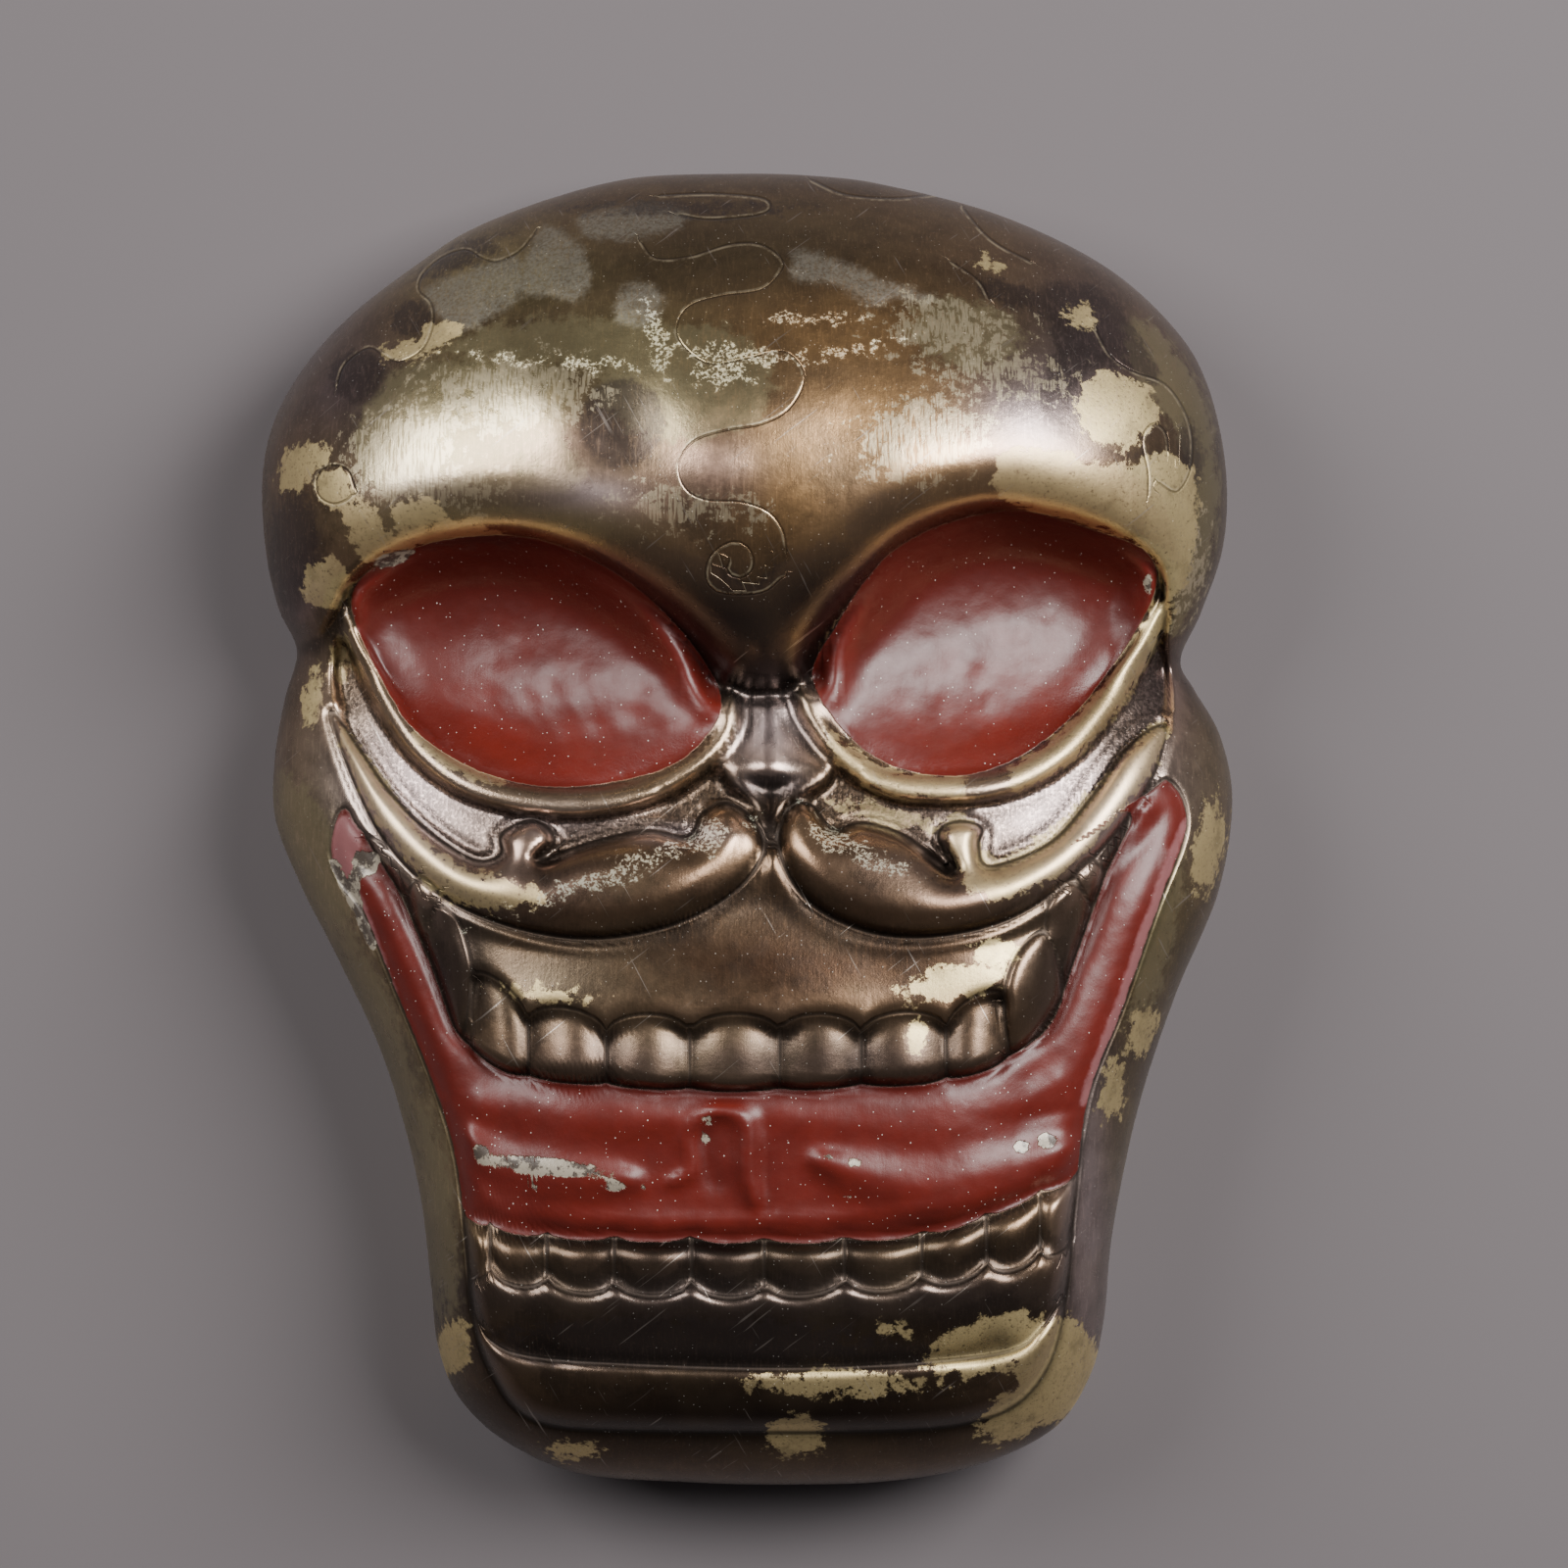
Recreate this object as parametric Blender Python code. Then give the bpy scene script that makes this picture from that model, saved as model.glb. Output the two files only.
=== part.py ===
# A skull mask raised from one sheet of brass, lying face up on its open rim.
# +X is the viewer's right, +Y the crown, +Z out of the face. The rim is at Z = 0.
import bpy
import numpy as np
from math import pi

# Driving dimensions, in metres.
MASK_HEIGHT = 0.340
MASK_WIDTH = 0.252
WALL = 0.0012
SIDE_HEIGHT = 0.028
RIM_TUCK = 0.003
FOREHEAD_HEIGHT = 0.082
FACE_HEIGHT = 0.058
BROW_ROLL = 0.015
BROW_RISE = 0.013
BROW_LIP = 0.004
BROW_CLEARANCE = 0.050
CORNER_BLEND = 0.004
SOCKET_DEPTH = 0.0115
SOCKET_LIP = 0.0015
BEAD_HEIGHT = 0.0042
BEAD_SINK = 0.0016
FIELD_DEPTH = 0.005
SCROLL_HEIGHT = 0.0125
NOSE_HEIGHT = 0.005
NOSE_PANEL = 0.0012
NOTCH_DEPTH = 0.0045
MOUTH_DEPTH = 0.0095
MOUTH_ROLL = 0.0042
LIP_FOLD = 0.0022
UPPER_JAW_HEIGHT = 0.0098
LOWER_JAW_HEIGHT = 0.0070
TOOTH_BULGE = 0.0032
TOOTH_STEP = 0.0012
LOWER_TOOTH_BULGE = 0.0022
LEAF_HEIGHT = 0.0020
GUM_ROLL = 0.0034
CHIN_ROLL = 0.0038
VIEW_DISTANCE = 1.6

# Widths of the forms, in units of the drawing.
BROW_SHOULDER = 72.0
BROW_REACH = 60.0
BOWL_EDGE = 50.0
SCROLL_SHOULDER = 46.0
NOSE_SHOULDER = 14.0
NOSE_MIDDLE = 786.0
NOTCH_SHOULDER = 12.0
NOSE_TOP = 32.0
NOSE_SPREAD = 30.0
MOUTH_SLOPE = 70.0
BAND_SHOULDER = 24.0
UPPER_SHOULDER = 62.0
TEETH_TOP = 985.0
TEETH_MIDDLE = 1060.0
LOWER_SHOULDER = 26.0
GUM_SHOULDER = 12.0
CHIN_SHOULDER = 14.0
CHIN_FOOT = 1461.0
TOOTH_LENGTH = 60.0
ARCH_GROOVE = 4.0
LEAF_SHOULDER = 12.0
EDGE = 5.0
NO_TOOTH = -50.0

# The outlines below are drawn as the mask is seen from the front, in units of a
# drawing DRAWN_WIDTH by DRAWN_HEIGHT around DRAWN_CENTRE, with y running down.
DRAWN_CENTRE = (762.5, 846.0)
DRAWN_WIDTH = 991.0
DRAWN_HEIGHT = 1338.0
VIEW_AXIS = (800.0, 800.0)

SILHOUETTE = [
    (750, 177), (650, 181), (566, 201), (483, 233), (428, 268), (360, 320), (313, 371), (281, 427),
    (268, 486), (271, 560), (284, 620), (303, 664), (291, 712), (281, 770), (281, 835), (308, 905),
    (345, 978), (386, 1065), (412, 1145), (430, 1225), (440, 1310), (447, 1372), (468, 1425),
    (515, 1470), (590, 1503), (693, 1512), (800, 1515), (910, 1511), (1000, 1494), (1075, 1458),
    (1112, 1405), (1127, 1345), (1136, 1255), (1162, 1130), (1200, 1015), (1243, 912), (1258, 820),
    (1246, 752), (1220, 705), (1205, 673), (1226, 625), (1249, 555), (1251, 475), (1232, 391),
    (1197, 333), (1127, 271), (1022, 220), (906, 189), (830, 179)]
FOREHEAD = [
    (150, 700), (304, 664), (342, 628), (360, 598), (400, 569), (450, 552), (520, 548), (590, 567),
    (655, 606), (705, 655), (737, 700), (785, 712), (824, 697), (840, 655), (880, 597), (935, 547),
    (1010, 521), (1090, 531), (1150, 554), (1182, 583), (1190, 630), (1205, 673), (1380, 700),
    (1380, 50), (150, 50)]
LEFT_EYE = [
    (356, 612), (400, 566), (480, 545), (560, 551), (640, 590), (700, 646), (737, 706), (728, 745),
    (680, 786), (580, 805), (500, 793), (430, 754), (392, 702)]
RIGHT_EYE = [
    (828, 696), (850, 640), (900, 570), (960, 534), (1040, 519), (1120, 540), (1172, 562),
    (1182, 600), (1150, 662), (1090, 738), (1020, 784), (950, 793), (880, 766)]
# The bowl behind each eye: its deepest point, its reach towards the nose and outwards,
# half its width, and its slope.
LEFT_BOWL = (480, 668, 268, 150, 158, 0.30)
RIGHT_BOWL = (1078, 640, -268, -140, 162, -0.30)
# Each bead point is x, y and half the bead's width.
LEFT_BEAD = [
    (350, 624, 6), (368, 664, 9), (394, 714, 12), (430, 764, 14), (480, 800, 15), (545, 817, 15),
    (610, 818, 15), (670, 803, 14), (718, 774, 12), (744, 738, 10), (744, 712, 6)]
RIGHT_BEAD = [
    (816, 702, 6), (828, 730, 10), (858, 768, 12), (905, 799, 14), (965, 806, 15), (1030, 797, 15),
    (1085, 766, 15), (1130, 716, 13), (1163, 668, 11), (1187, 620, 8)]
LEFT_FIELD = [
    (338, 668), (352, 648), (430, 700), (600, 770), (740, 730), (752, 745), (744, 790), (776, 830),
    (720, 890), (560, 920), (450, 890), (385, 815), (345, 735)]
RIGHT_FIELD = [
    (1190, 650), (1165, 640), (1060, 720), (940, 770), (820, 720), (812, 745), (845, 790),
    (792, 830), (850, 900), (980, 920), (1080, 880), (1150, 800), (1196, 738)]
LEFT_SCROLL = [
    (338, 727), (368, 766), (398, 808), (440, 850), (485, 878), (511, 872), (512, 851), (545, 836),
    (567, 856), (552, 878), (600, 860), (660, 847), (702, 853), (716, 830), (742, 819), (770, 838),
    (780, 870), (750, 910), (690, 943), (610, 958), (530, 948), (455, 917), (398, 865), (362, 800)]
RIGHT_SCROLL = [
    (1188, 740), (1150, 763), (1115, 812), (1072, 860), (1010, 884), (999, 862), (1002, 844),
    (976, 838), (957, 852), (972, 888), (925, 853), (880, 839), (850, 846), (830, 822), (808, 822),
    (794, 856), (806, 896), (838, 930), (895, 953), (960, 955), (1030, 938), (1092, 898),
    (1145, 842), (1180, 786)]
NOSE = [
    (752, 706), (750, 745), (730, 787), (760, 783), (786, 790), (815, 783), (852, 786), (822, 745),
    (816, 706)]
NOTCH = [
    (732, 790), (786, 794), (852, 790), (822, 812), (796, 836), (786, 872), (777, 836), (756, 814)]
FRAME_INNER = [
    (352, 824), (337, 862), (346, 896), (370, 930), (402, 1008), (442, 1108), (464, 1180),
    (475, 1265), (483, 1345), (502, 1402), (545, 1450), (650, 1461), (900, 1461), (1010, 1447),
    (1062, 1408), (1086, 1340), (1098, 1225), (1112, 1120), (1147, 1028), (1182, 928), (1212, 842),
    (1193, 796), (1160, 815), (1000, 900), (780, 860), (560, 900), (390, 860)]
UPPER_JAW = [
    (374, 838), (410, 914), (440, 984), (468, 1056), (500, 1085), (540, 1100), (620, 1108),
    (705, 1113), (795, 1113), (878, 1109), (960, 1104), (1030, 1082), (1072, 1044), (1095, 984),
    (1126, 898), (1152, 828), (1060, 870), (780, 850), (500, 880)]
LOWER_JAW = [
    (462, 1232), (500, 1250), (560, 1262), (670, 1266), (780, 1266), (860, 1262), (940, 1258),
    (1010, 1240), (1060, 1214), (1104, 1192), (1098, 1250), (1086, 1340), (1062, 1408),
    (1010, 1447), (900, 1461), (650, 1461), (545, 1450), (502, 1402), (483, 1345), (472, 1265)]
CHIN_LINE = [
    (483, 1338), (500, 1368), (540, 1385), (650, 1393), (800, 1397), (930, 1392), (1030, 1380),
    (1062, 1358), (1082, 1330)]
# Each tooth is its left and right side, the top of its arch and its lowest point.
UPPER_TEETH = [
    (481, 539, 998, 1096), (539, 619, 1029, 1108), (619, 704, 1036, 1113), (704, 796, 1037, 1114),
    (796, 879, 1037, 1113), (879, 966, 1034, 1110), (966, 1028, 1019, 1102)]
# The pointed teeth at the sides.
LEAF_TEETH = [
    [(450, 925), (463, 934), (471, 947), (479, 974), (481, 995), (478, 1025), (474, 1051), (470, 1065),
     (464, 1050), (452, 1012), (440, 978), (434, 960), (440, 936)],
    [(1065, 951), (1077, 970), (1084, 1011), (1080, 1024), (1065, 1045), (1050, 1066), (1034, 1083),
     (1028, 1058), (1025, 1020), (1031, 990), (1044, 966)],
    [(1093, 901), (1107, 912), (1115, 932), (1108, 960), (1096, 990), (1087, 1006), (1078, 972),
     (1067, 949), (1070, 925), (1080, 908)]]
LOWER_TEETH = [
    (470, 500, 1228, 1300), (500, 558, 1246, 1310), (558, 625, 1258, 1320), (625, 706, 1262, 1325),
    (706, 780, 1263, 1326), (780, 862, 1262, 1325), (862, 941, 1258, 1320), (941, 1007, 1250, 1308),
    (1007, 1062, 1232, 1295), (1062, 1100, 1205, 1277)]
# The folds of paint-covered metal inside the mouth: x, y and half the fold's width.
MOUTH_FOLDS = [
    [(478, 1165, 10), (520, 1186, 20), (575, 1196, 20), (640, 1184, 14)],
    [(836, 1178, 10), (890, 1196, 19), (960, 1200, 19), (1030, 1180, 18), (1088, 1158, 10)],
    [(752, 1134, 8), (771, 1156, 14), (776, 1190, 12), (782, 1238, 7)],
    [(713, 1138, 5), (703, 1158, 8), (710, 1184, 9), (694, 1202, 5)],
    [(470, 1212, 6), (520, 1234, 9), (620, 1243, 9), (780, 1241, 9), (930, 1238, 9), (1040, 1212, 9),
     (1098, 1186, 6)]]

# Heights down the middle of the mask, as shares of FOREHEAD_HEIGHT and FACE_HEIGHT.
FOREHEAD_PROFILE = [
    (177, 0.90), (250, 0.99), (340, 1.00), (420, 1.00), (500, 0.93), (580, 0.80), (640, 0.67),
    (700, 0.54), (760, 0.48)]
FACE_PROFILE = [
    (500, 0.72), (640, 0.66), (720, 0.68), (790, 0.76), (880, 0.87), (980, 0.96), (1060, 1.00),
    (1130, 0.97), (1220, 0.93), (1300, 0.93), (1400, 0.93), (1515, 0.84)]
FOREHEAD_SQUARENESS = 2.35
JAW_SQUARENESS = 4.2

# The dense grid that the forms are worked out on, and the faces that are kept.
GRID_ACROSS = 176
GRID_DOWN = 236
FACE_SHARE = 0.88
KEPT_TRIANGLES = 4850

BRASS = (0.20, 0.15, 0.085, 1.0)


def spline(points, closed=False, steps=5):
    """A smooth curve through the points, with the given steps between two of them."""
    p = np.array(points, dtype=float)
    if closed:
        p = np.vstack([p[-1:], p, p[:2]])
    else:
        p = np.vstack([2 * p[:1] - p[1:2], p, 2 * p[-1:] - p[-2:-1]])
    t = np.linspace(0.0, 1.0, steps, endpoint=False)[None, :, None]
    a, b, c, d = p[:-3, None], p[1:-2, None], p[2:-1, None], p[3:, None]
    q = 0.5 * (2 * b + (c - a) * t + (2 * a - 5 * b + 4 * c - d) * t ** 2 + (3 * b - a - 3 * c + d) * t ** 3)
    q = q.reshape(-1, p.shape[1])
    return q if closed else np.vstack([q, p[-2:-1]])


def nearest(x, y, line, reach):
    """Distance to an open line, and the line's third value at its nearest point."""
    away = np.full(x.shape, float(reach))
    width = np.ones(x.shape)
    near = ((x > line[:, 0].min() - reach) & (x < line[:, 0].max() + reach)
            & (y > line[:, 1].min() - reach) & (y < line[:, 1].max() + reach))
    xs, ys = x[near], y[near]
    best, wide = away[near], width[near]
    for p, q in zip(line[:-1], line[1:]):
        step = q[:2] - p[:2]
        along = np.clip(((xs - p[0]) * step[0] + (ys - p[1]) * step[1]) / (step @ step), 0.0, 1.0)
        dx, dy = xs - p[0] - along * step[0], ys - p[1] - along * step[1]
        gap = np.hypot(dx, dy)
        closer = gap < best
        best = np.where(closer, gap, best)
        if line.shape[1] > 2:
            wide = np.where(closer, p[2] + along * (q[2] - p[2]), wide)
    away[near], width[near] = best, wide
    return away, width


def depth_inside(x, y, outline, reach=130.0):
    """Distance to a closed outline, positive inside it and negative outside."""
    ring = spline(outline, closed=True)
    ring = np.vstack([ring, ring[:1]])
    away, _ = nearest(x, y, ring, reach)
    inside = np.zeros(x.shape, dtype=bool)
    for p, q in zip(ring[:-1], ring[1:]):
        if p[1] != q[1]:
            crosses = ((p[1] > y) != (q[1] > y)) & (x < (q[0] - p[0]) * (y - p[1]) / (q[1] - p[1]) + p[0])
            inside ^= crosses
    return np.where(inside, away, -away)


def ramp(value, low, high):
    """A smooth step from 0 at low to 1 at high."""
    s = np.clip((value - low) / (high - low), 0.0, 1.0)
    return s * s * (3.0 - 2.0 * s)


def rounded(value, width):
    """A quarter circle: 0 at the edge, 1 from width inwards, and 0 outside."""
    s = np.clip(value / width, 0.0, 1.0)
    return np.sqrt(1.0 - (1.0 - s) ** 2)


def roll(x, y, line, reach=40.0):
    """A half-round bar along a line of points with half-widths, 1 on its crest."""
    away, width = nearest(x, y, spline(line), reach)
    return np.sqrt(np.clip(1.0 - (away / width) ** 2, 0.0, 1.0))


def soft_min(a, b):
    """The lower of two heights, with the corner between them rounded."""
    return 0.5 * (a + b - np.sqrt((a - b) ** 2 + CORNER_BLEND ** 2))


def profile(pairs, place):
    """The value of a smooth curve through (place, value) pairs."""
    line = spline(pairs)
    return np.interp(place, line[:, 0], line[:, 1])


def tooth_row(x, y, teeth, arch, lowest):
    """Fall across the teeth, and how far a point lies below the arches and above the lowest points."""
    fall = np.zeros(x.shape)
    below = np.full(x.shape, 2.0 * NO_TOOTH)
    above = np.full(x.shape, 2.0 * NO_TOOTH)
    for left, right, top, bottom in teeth:
        across = 2.0 * (x - left) / (right - left) - 1.0
        here = np.abs(across) <= 1.0
        crown = 1.0 - np.sqrt(np.clip(1.0 - np.abs(across) ** 3, 0.0, 1.0))
        fall = np.where(here, across ** 2, fall)
        below = np.where(here, y - top - arch * crown, below)
        above = np.where(here, bottom - lowest * crown - y, above)
    return fall, below, above


def add_sockets(x, y, face, forehead, above_brow, z):
    """Each eye is a bowl that sweeps up to the brow, with a rolled bead along its lower edge."""
    eyes = ((LEFT_EYE, LEFT_BOWL, LEFT_BEAD), (RIGHT_EYE, RIGHT_BOWL, RIGHT_BEAD))
    for eye, (mid_x, mid_y, inwards, outwards, width, slope), bead in eyes:
        inside = depth_inside(x, y, eye)
        along = (x - mid_x) + slope * (y - mid_y)
        along = along / np.where(along * inwards > 0.0, inwards, outwards)
        across = ((y - mid_y) - slope * (x - mid_x)) / width
        bowl = np.clip(1.0 - along ** 2 - across ** 2, 0.0, 1.0) ** 1.5
        bowl = bowl * (0.75 + 0.25 * ramp(inside, 0.0, BOWL_EDGE))
        under_brow = 1.0 - np.clip(-above_brow / BROW_REACH, 0.0, 1.0)
        floor = face - SOCKET_LIP - SOCKET_DEPTH * bowl + BROW_RISE * under_brow ** 2
        floor = soft_min(floor, forehead - BROW_LIP + BROW_CLEARANCE * (1.0 - under_brow))
        z = z + (floor - z) * ramp(inside, -EDGE, EDGE)
        bar = roll(x, y, bead)
        z = np.where(bar > 0.0, np.maximum(z, face - BEAD_SINK + BEAD_HEIGHT * bar), z)
    return z


def sink_fields(x, y, z):
    """The sunken field under each eye."""
    for field in (LEFT_FIELD, RIGHT_FIELD):
        z = z - FIELD_DEPTH * ramp(depth_inside(x, y, field), 0.0, 2.0 * EDGE)
    return z


def add_scrolls(x, y, face, z):
    """The two scrolls, puffed up from the face like cushions."""
    for scroll in (LEFT_SCROLL, RIGHT_SCROLL):
        inside = depth_inside(x, y, scroll)
        puffed = face - FIELD_DEPTH + SCROLL_HEIGHT * rounded(inside, SCROLL_SHOULDER)
        z = np.where(inside > 0.0, np.maximum(z, puffed), z)
    return z


def add_nose(x, y, face, z):
    """The nose: a fan of two hollow panels between the eyes, over a deep notch."""
    z = z - NOTCH_DEPTH * ramp(depth_inside(x, y, NOTCH), 0.0, NOTCH_SHOULDER)
    inside = depth_inside(x, y, NOSE)
    spread = (x - NOSE_MIDDLE) / (NOSE_TOP + NOSE_SPREAD * ramp(y, 735.0, 790.0))
    panels = np.sin(pi * np.clip(np.abs(spread), 0.0, 1.0))
    fan = face - 0.6 * FIELD_DEPTH + NOSE_HEIGHT * rounded(inside, NOSE_SHOULDER) * ramp(y, 690.0, 785.0)
    return np.where(inside > 0.0, fan - NOSE_PANEL * panels, z)


def add_mouth(x, y, face, z):
    """The sunken mouth inside its frame, with rolled bands and folds."""
    frame = depth_inside(x, y, FRAME_INNER)
    upper = depth_inside(x, y, UPPER_JAW)
    lower = depth_inside(x, y, LOWER_JAW)
    floor = face - MOUTH_DEPTH * (0.4 + 0.6 * ramp(frame, 0.0, MOUTH_SLOPE))
    gap = np.minimum(frame, np.minimum(-upper, -lower))
    folds = sum(roll(x, y, fold) for fold in MOUTH_FOLDS)
    mouth = floor + MOUTH_ROLL * rounded(gap, BAND_SHOULDER) + LIP_FOLD * np.clip(folds, 0.0, 1.2)
    swollen = rounded(upper, UPPER_SHOULDER)
    straight = (0.6 + 0.4 * np.clip(upper / UPPER_SHOULDER, 0.0, 1.0)) * ramp(upper, 0.0, EDGE)
    swollen = swollen + (straight - swollen) * ramp(y, TEETH_TOP, TEETH_MIDDLE)
    mouth = np.where(upper > 0.0, floor + UPPER_JAW_HEIGHT * swollen, mouth)
    mouth = np.where(lower > 0.0, floor + LOWER_JAW_HEIGHT * rounded(lower, LOWER_SHOULDER), mouth)
    mouth = np.where(lower > 0.0, add_lower_teeth(x, y, mouth), mouth)
    mouth = np.where(upper > 0.0, add_upper_teeth(x, y, mouth), mouth)
    return z + (mouth - z) * ramp(frame, -EDGE, EDGE)


def add_upper_teeth(x, y, z):
    """Rounded teeth, each under an arched groove, with pointed ones at the sides."""
    for leaf in LEAF_TEETH:
        z = z + LEAF_HEIGHT * rounded(depth_inside(x, y, leaf), LEAF_SHOULDER)
    fall, below, _ = tooth_row(x, y, UPPER_TEETH, 19.0, 6.0)
    groove = np.exp(-(below / ARCH_GROOVE) ** 2)
    return z - TOOTH_BULGE * fall * ramp(below, 0.0, EDGE) - TOOTH_STEP * groove


def add_lower_teeth(x, y, z):
    """Teeth, gum and chin as three steps, each rising fast and falling back slowly."""
    fall, _, above = tooth_row(x, y, LOWER_TEETH, -7.0, 22.0)
    row = ramp(above, 0.0, EDGE)
    teeth = 0.8 * GUM_ROLL * np.clip(above / TOOTH_LENGTH, 0.0, 1.0) - LOWER_TOOTH_BULGE * fall
    chin_y = profile(CHIN_LINE, x)
    under = y - chin_y
    gum = rounded(-above, GUM_SHOULDER) * np.clip(-under / np.maximum(-under - above, 1.0), 0.0, 1.0)
    gum = gum * (above > NO_TOOTH)
    chin_share = np.clip(under / np.maximum(CHIN_FOOT - chin_y, 1.0), 0.0, 1.0)
    chin = rounded(under, CHIN_SHOULDER) * (1.0 - 0.85 * chin_share)
    return z + row * teeth + GUM_ROLL * (1.0 - row) * gum + CHIN_ROLL * chin


def heights(x, y, share):
    """Height of the metal's outer face over the rim, at drawn points a share of the way out."""
    jaw = ramp(y, 560.0, 820.0)
    squareness = FOREHEAD_SQUARENESS + (JAW_SQUARENESS - FOREHEAD_SQUARENESS) * jaw
    fall = np.sqrt(np.clip(1.0 - share ** squareness, 0.0, 1.0))
    forehead = SIDE_HEIGHT + FOREHEAD_HEIGHT * profile(FOREHEAD_PROFILE, y) * fall
    face = SIDE_HEIGHT + FACE_HEIGHT * profile(FACE_PROFILE, y) * fall
    above_brow = depth_inside(x, y, FOREHEAD)
    forehead = forehead - BROW_ROLL * (1.0 - rounded(above_brow, BROW_SHOULDER)) * fall
    z = sink_fields(x, y, face)
    z = add_mouth(x, y, face, z)
    z = add_nose(x, y, face, z)
    z = add_scrolls(x, y, face, z)
    z = add_sockets(x, y, face, forehead, above_brow, z)
    return z + (forehead - z) * ramp(above_brow, -EDGE, EDGE)


def outer_grid(across, down):
    """Points of the outer face on a square grid that is rounded off to the silhouette."""
    u, v = np.meshgrid(np.linspace(-1.0, 1.0, across), np.linspace(-1.0, 1.0, down))
    a = u * np.sqrt(1.0 - v ** 2 / 2.0)
    b = v * np.sqrt(1.0 - u ** 2 / 2.0)
    out = np.hypot(a, b)
    angle = np.arctan2(b, a)
    ring = spline(SILHOUETTE, closed=True, steps=12) - DRAWN_CENTRE
    ring_angle = np.arctan2(ring[:, 1], ring[:, 0])
    order = np.argsort(ring_angle)
    radius = np.interp(angle, ring_angle[order], np.hypot(ring[:, 0], ring[:, 1])[order], period=2 * pi)
    # Equal steps along the section of a dome give the steep edge its share of points.
    t = np.linspace(0.0, 1.0, 400)
    mean_radius = (MASK_HEIGHT + MASK_WIDTH) / 4
    drop = 0.8 * FOREHEAD_HEIGHT * np.sqrt(1.0 - t ** 3)
    length = np.concatenate([[0.0], np.cumsum(np.hypot(np.diff(t) * mean_radius, np.diff(drop)))])
    share = np.interp(np.clip(out / FACE_SHARE, 0.0, 1.0), length / length[-1], t)
    x = DRAWN_CENTRE[0] + share * radius * np.cos(angle)
    y = DRAWN_CENTRE[1] + share * radius * np.sin(angle)
    z = heights(x, y, share)
    down_wall = np.clip((out - FACE_SHARE) / (1.0 - FACE_SHARE), 0.0, 1.0)
    z = np.where(down_wall > 0.0, SIDE_HEIGHT * (1.0 - down_wall), z)
    tuck = RIM_TUCK / (MASK_WIDTH / 2) * down_wall ** 2
    return place(x, y, z, tuck)


def place(x, y, z, tuck):
    """Real places of drawn points. What stands nearer the viewer is drawn larger than it is."""
    nearer = (VIEW_DISTANCE - z) / (VIEW_DISTANCE - SIDE_HEIGHT)
    flat = np.clip((SIDE_HEIGHT - z) / SIDE_HEIGHT, 0.0, 1.0)
    nearer = nearer + (1.0 - nearer) * (flat > 0.0)
    wide = MASK_WIDTH / DRAWN_WIDTH
    tall = MASK_HEIGHT / DRAWN_HEIGHT
    real_x = wide * (VIEW_AXIS[0] - DRAWN_CENTRE[0] + (x - VIEW_AXIS[0]) * nearer) * (1.0 - tuck)
    real_y = -tall * (VIEW_AXIS[1] - DRAWN_CENTRE[1] + (y - VIEW_AXIS[1]) * nearer) * (1.0 - tuck)
    return np.stack([real_x, real_y, z], axis=-1)


def grid_faces(rows, columns):
    """Quads of a grid, turned so that they face up."""
    index = np.arange(rows * columns).reshape(rows, columns)
    quads = np.stack([index[:-1, :-1], index[1:, :-1], index[1:, 1:], index[:-1, 1:]], axis=-1)
    return quads.reshape(-1, 4)


def thinned(points, faces, kept):
    """The same surface with only as many triangles as its forms need."""
    mesh = bpy.data.meshes.new("dense")
    mesh.from_pydata(points.tolist(), [], faces.tolist())
    dense = bpy.data.objects.new("dense", mesh)
    bpy.context.scene.collection.objects.link(dense)
    thin = dense.modifiers.new("thin", "DECIMATE")
    thin.ratio = kept / (2.0 * len(faces))
    thin.use_collapse_triangulate = True
    result = bpy.data.meshes.new_from_object(dense.evaluated_get(bpy.context.evaluated_depsgraph_get()))
    bpy.data.objects.remove(dense)
    return result


def shell(skin):
    """Gives the skin its wall: an inner face one wall behind it, joined to it along the flat rim."""
    count = len(skin.vertices)
    outer = np.empty(count * 3)
    skin.vertices.foreach_get("co", outer)
    outer = outer.reshape(-1, 3)
    normal = np.array([tuple(n.vector) for n in skin.vertex_normals])
    sides = {}
    for face in skin.polygons:
        for edge in face.edge_keys:
            sides[edge] = sides.get(edge, 0) + 1
    open_edges = {edge for edge, uses in sides.items() if uses == 1}
    rim = sorted({corner for edge in open_edges for corner in edge})
    outer[rim, 2] = 0.0
    normal[rim, 2] = 0.0
    normal[rim] /= np.linalg.norm(normal[rim], axis=1)[:, None]
    inner = outer - normal * WALL
    faces = [tuple(face.vertices) for face in skin.polygons]
    joined = list(faces)
    joined += [tuple(count + corner for corner in reversed(face)) for face in faces]
    for face in faces:
        for start, end in zip(face, face[1:] + face[:1]):
            if tuple(sorted((start, end))) in open_edges:
                joined.append((end, start, count + start, count + end))
    mesh = bpy.data.meshes.new("mask")
    mesh.from_pydata(np.vstack([outer, inner]).tolist(), [], joined)
    return mesh


def brass():
    """Dark, worn brass."""
    material = bpy.data.materials.new("old_brass")
    material.use_nodes = True
    shader = material.node_tree.nodes["Principled BSDF"]
    shader.inputs["Base Color"].default_value = BRASS
    shader.inputs["Roughness"].default_value = 0.42
    shader.inputs["Metallic"].default_value = 0.9
    return material


def main():
    for old in list(bpy.data.objects):
        bpy.data.objects.remove(old)
    points = outer_grid(GRID_ACROSS, GRID_DOWN).reshape(-1, 3)
    skin = thinned(points, grid_faces(GRID_DOWN, GRID_ACROSS), KEPT_TRIANGLES)
    mesh = shell(skin)
    mesh.shade_smooth()
    mesh.materials.append(brass())
    mask = bpy.data.objects.new("mask", mesh)
    bpy.context.scene.collection.objects.link(mask)


main()
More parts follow.
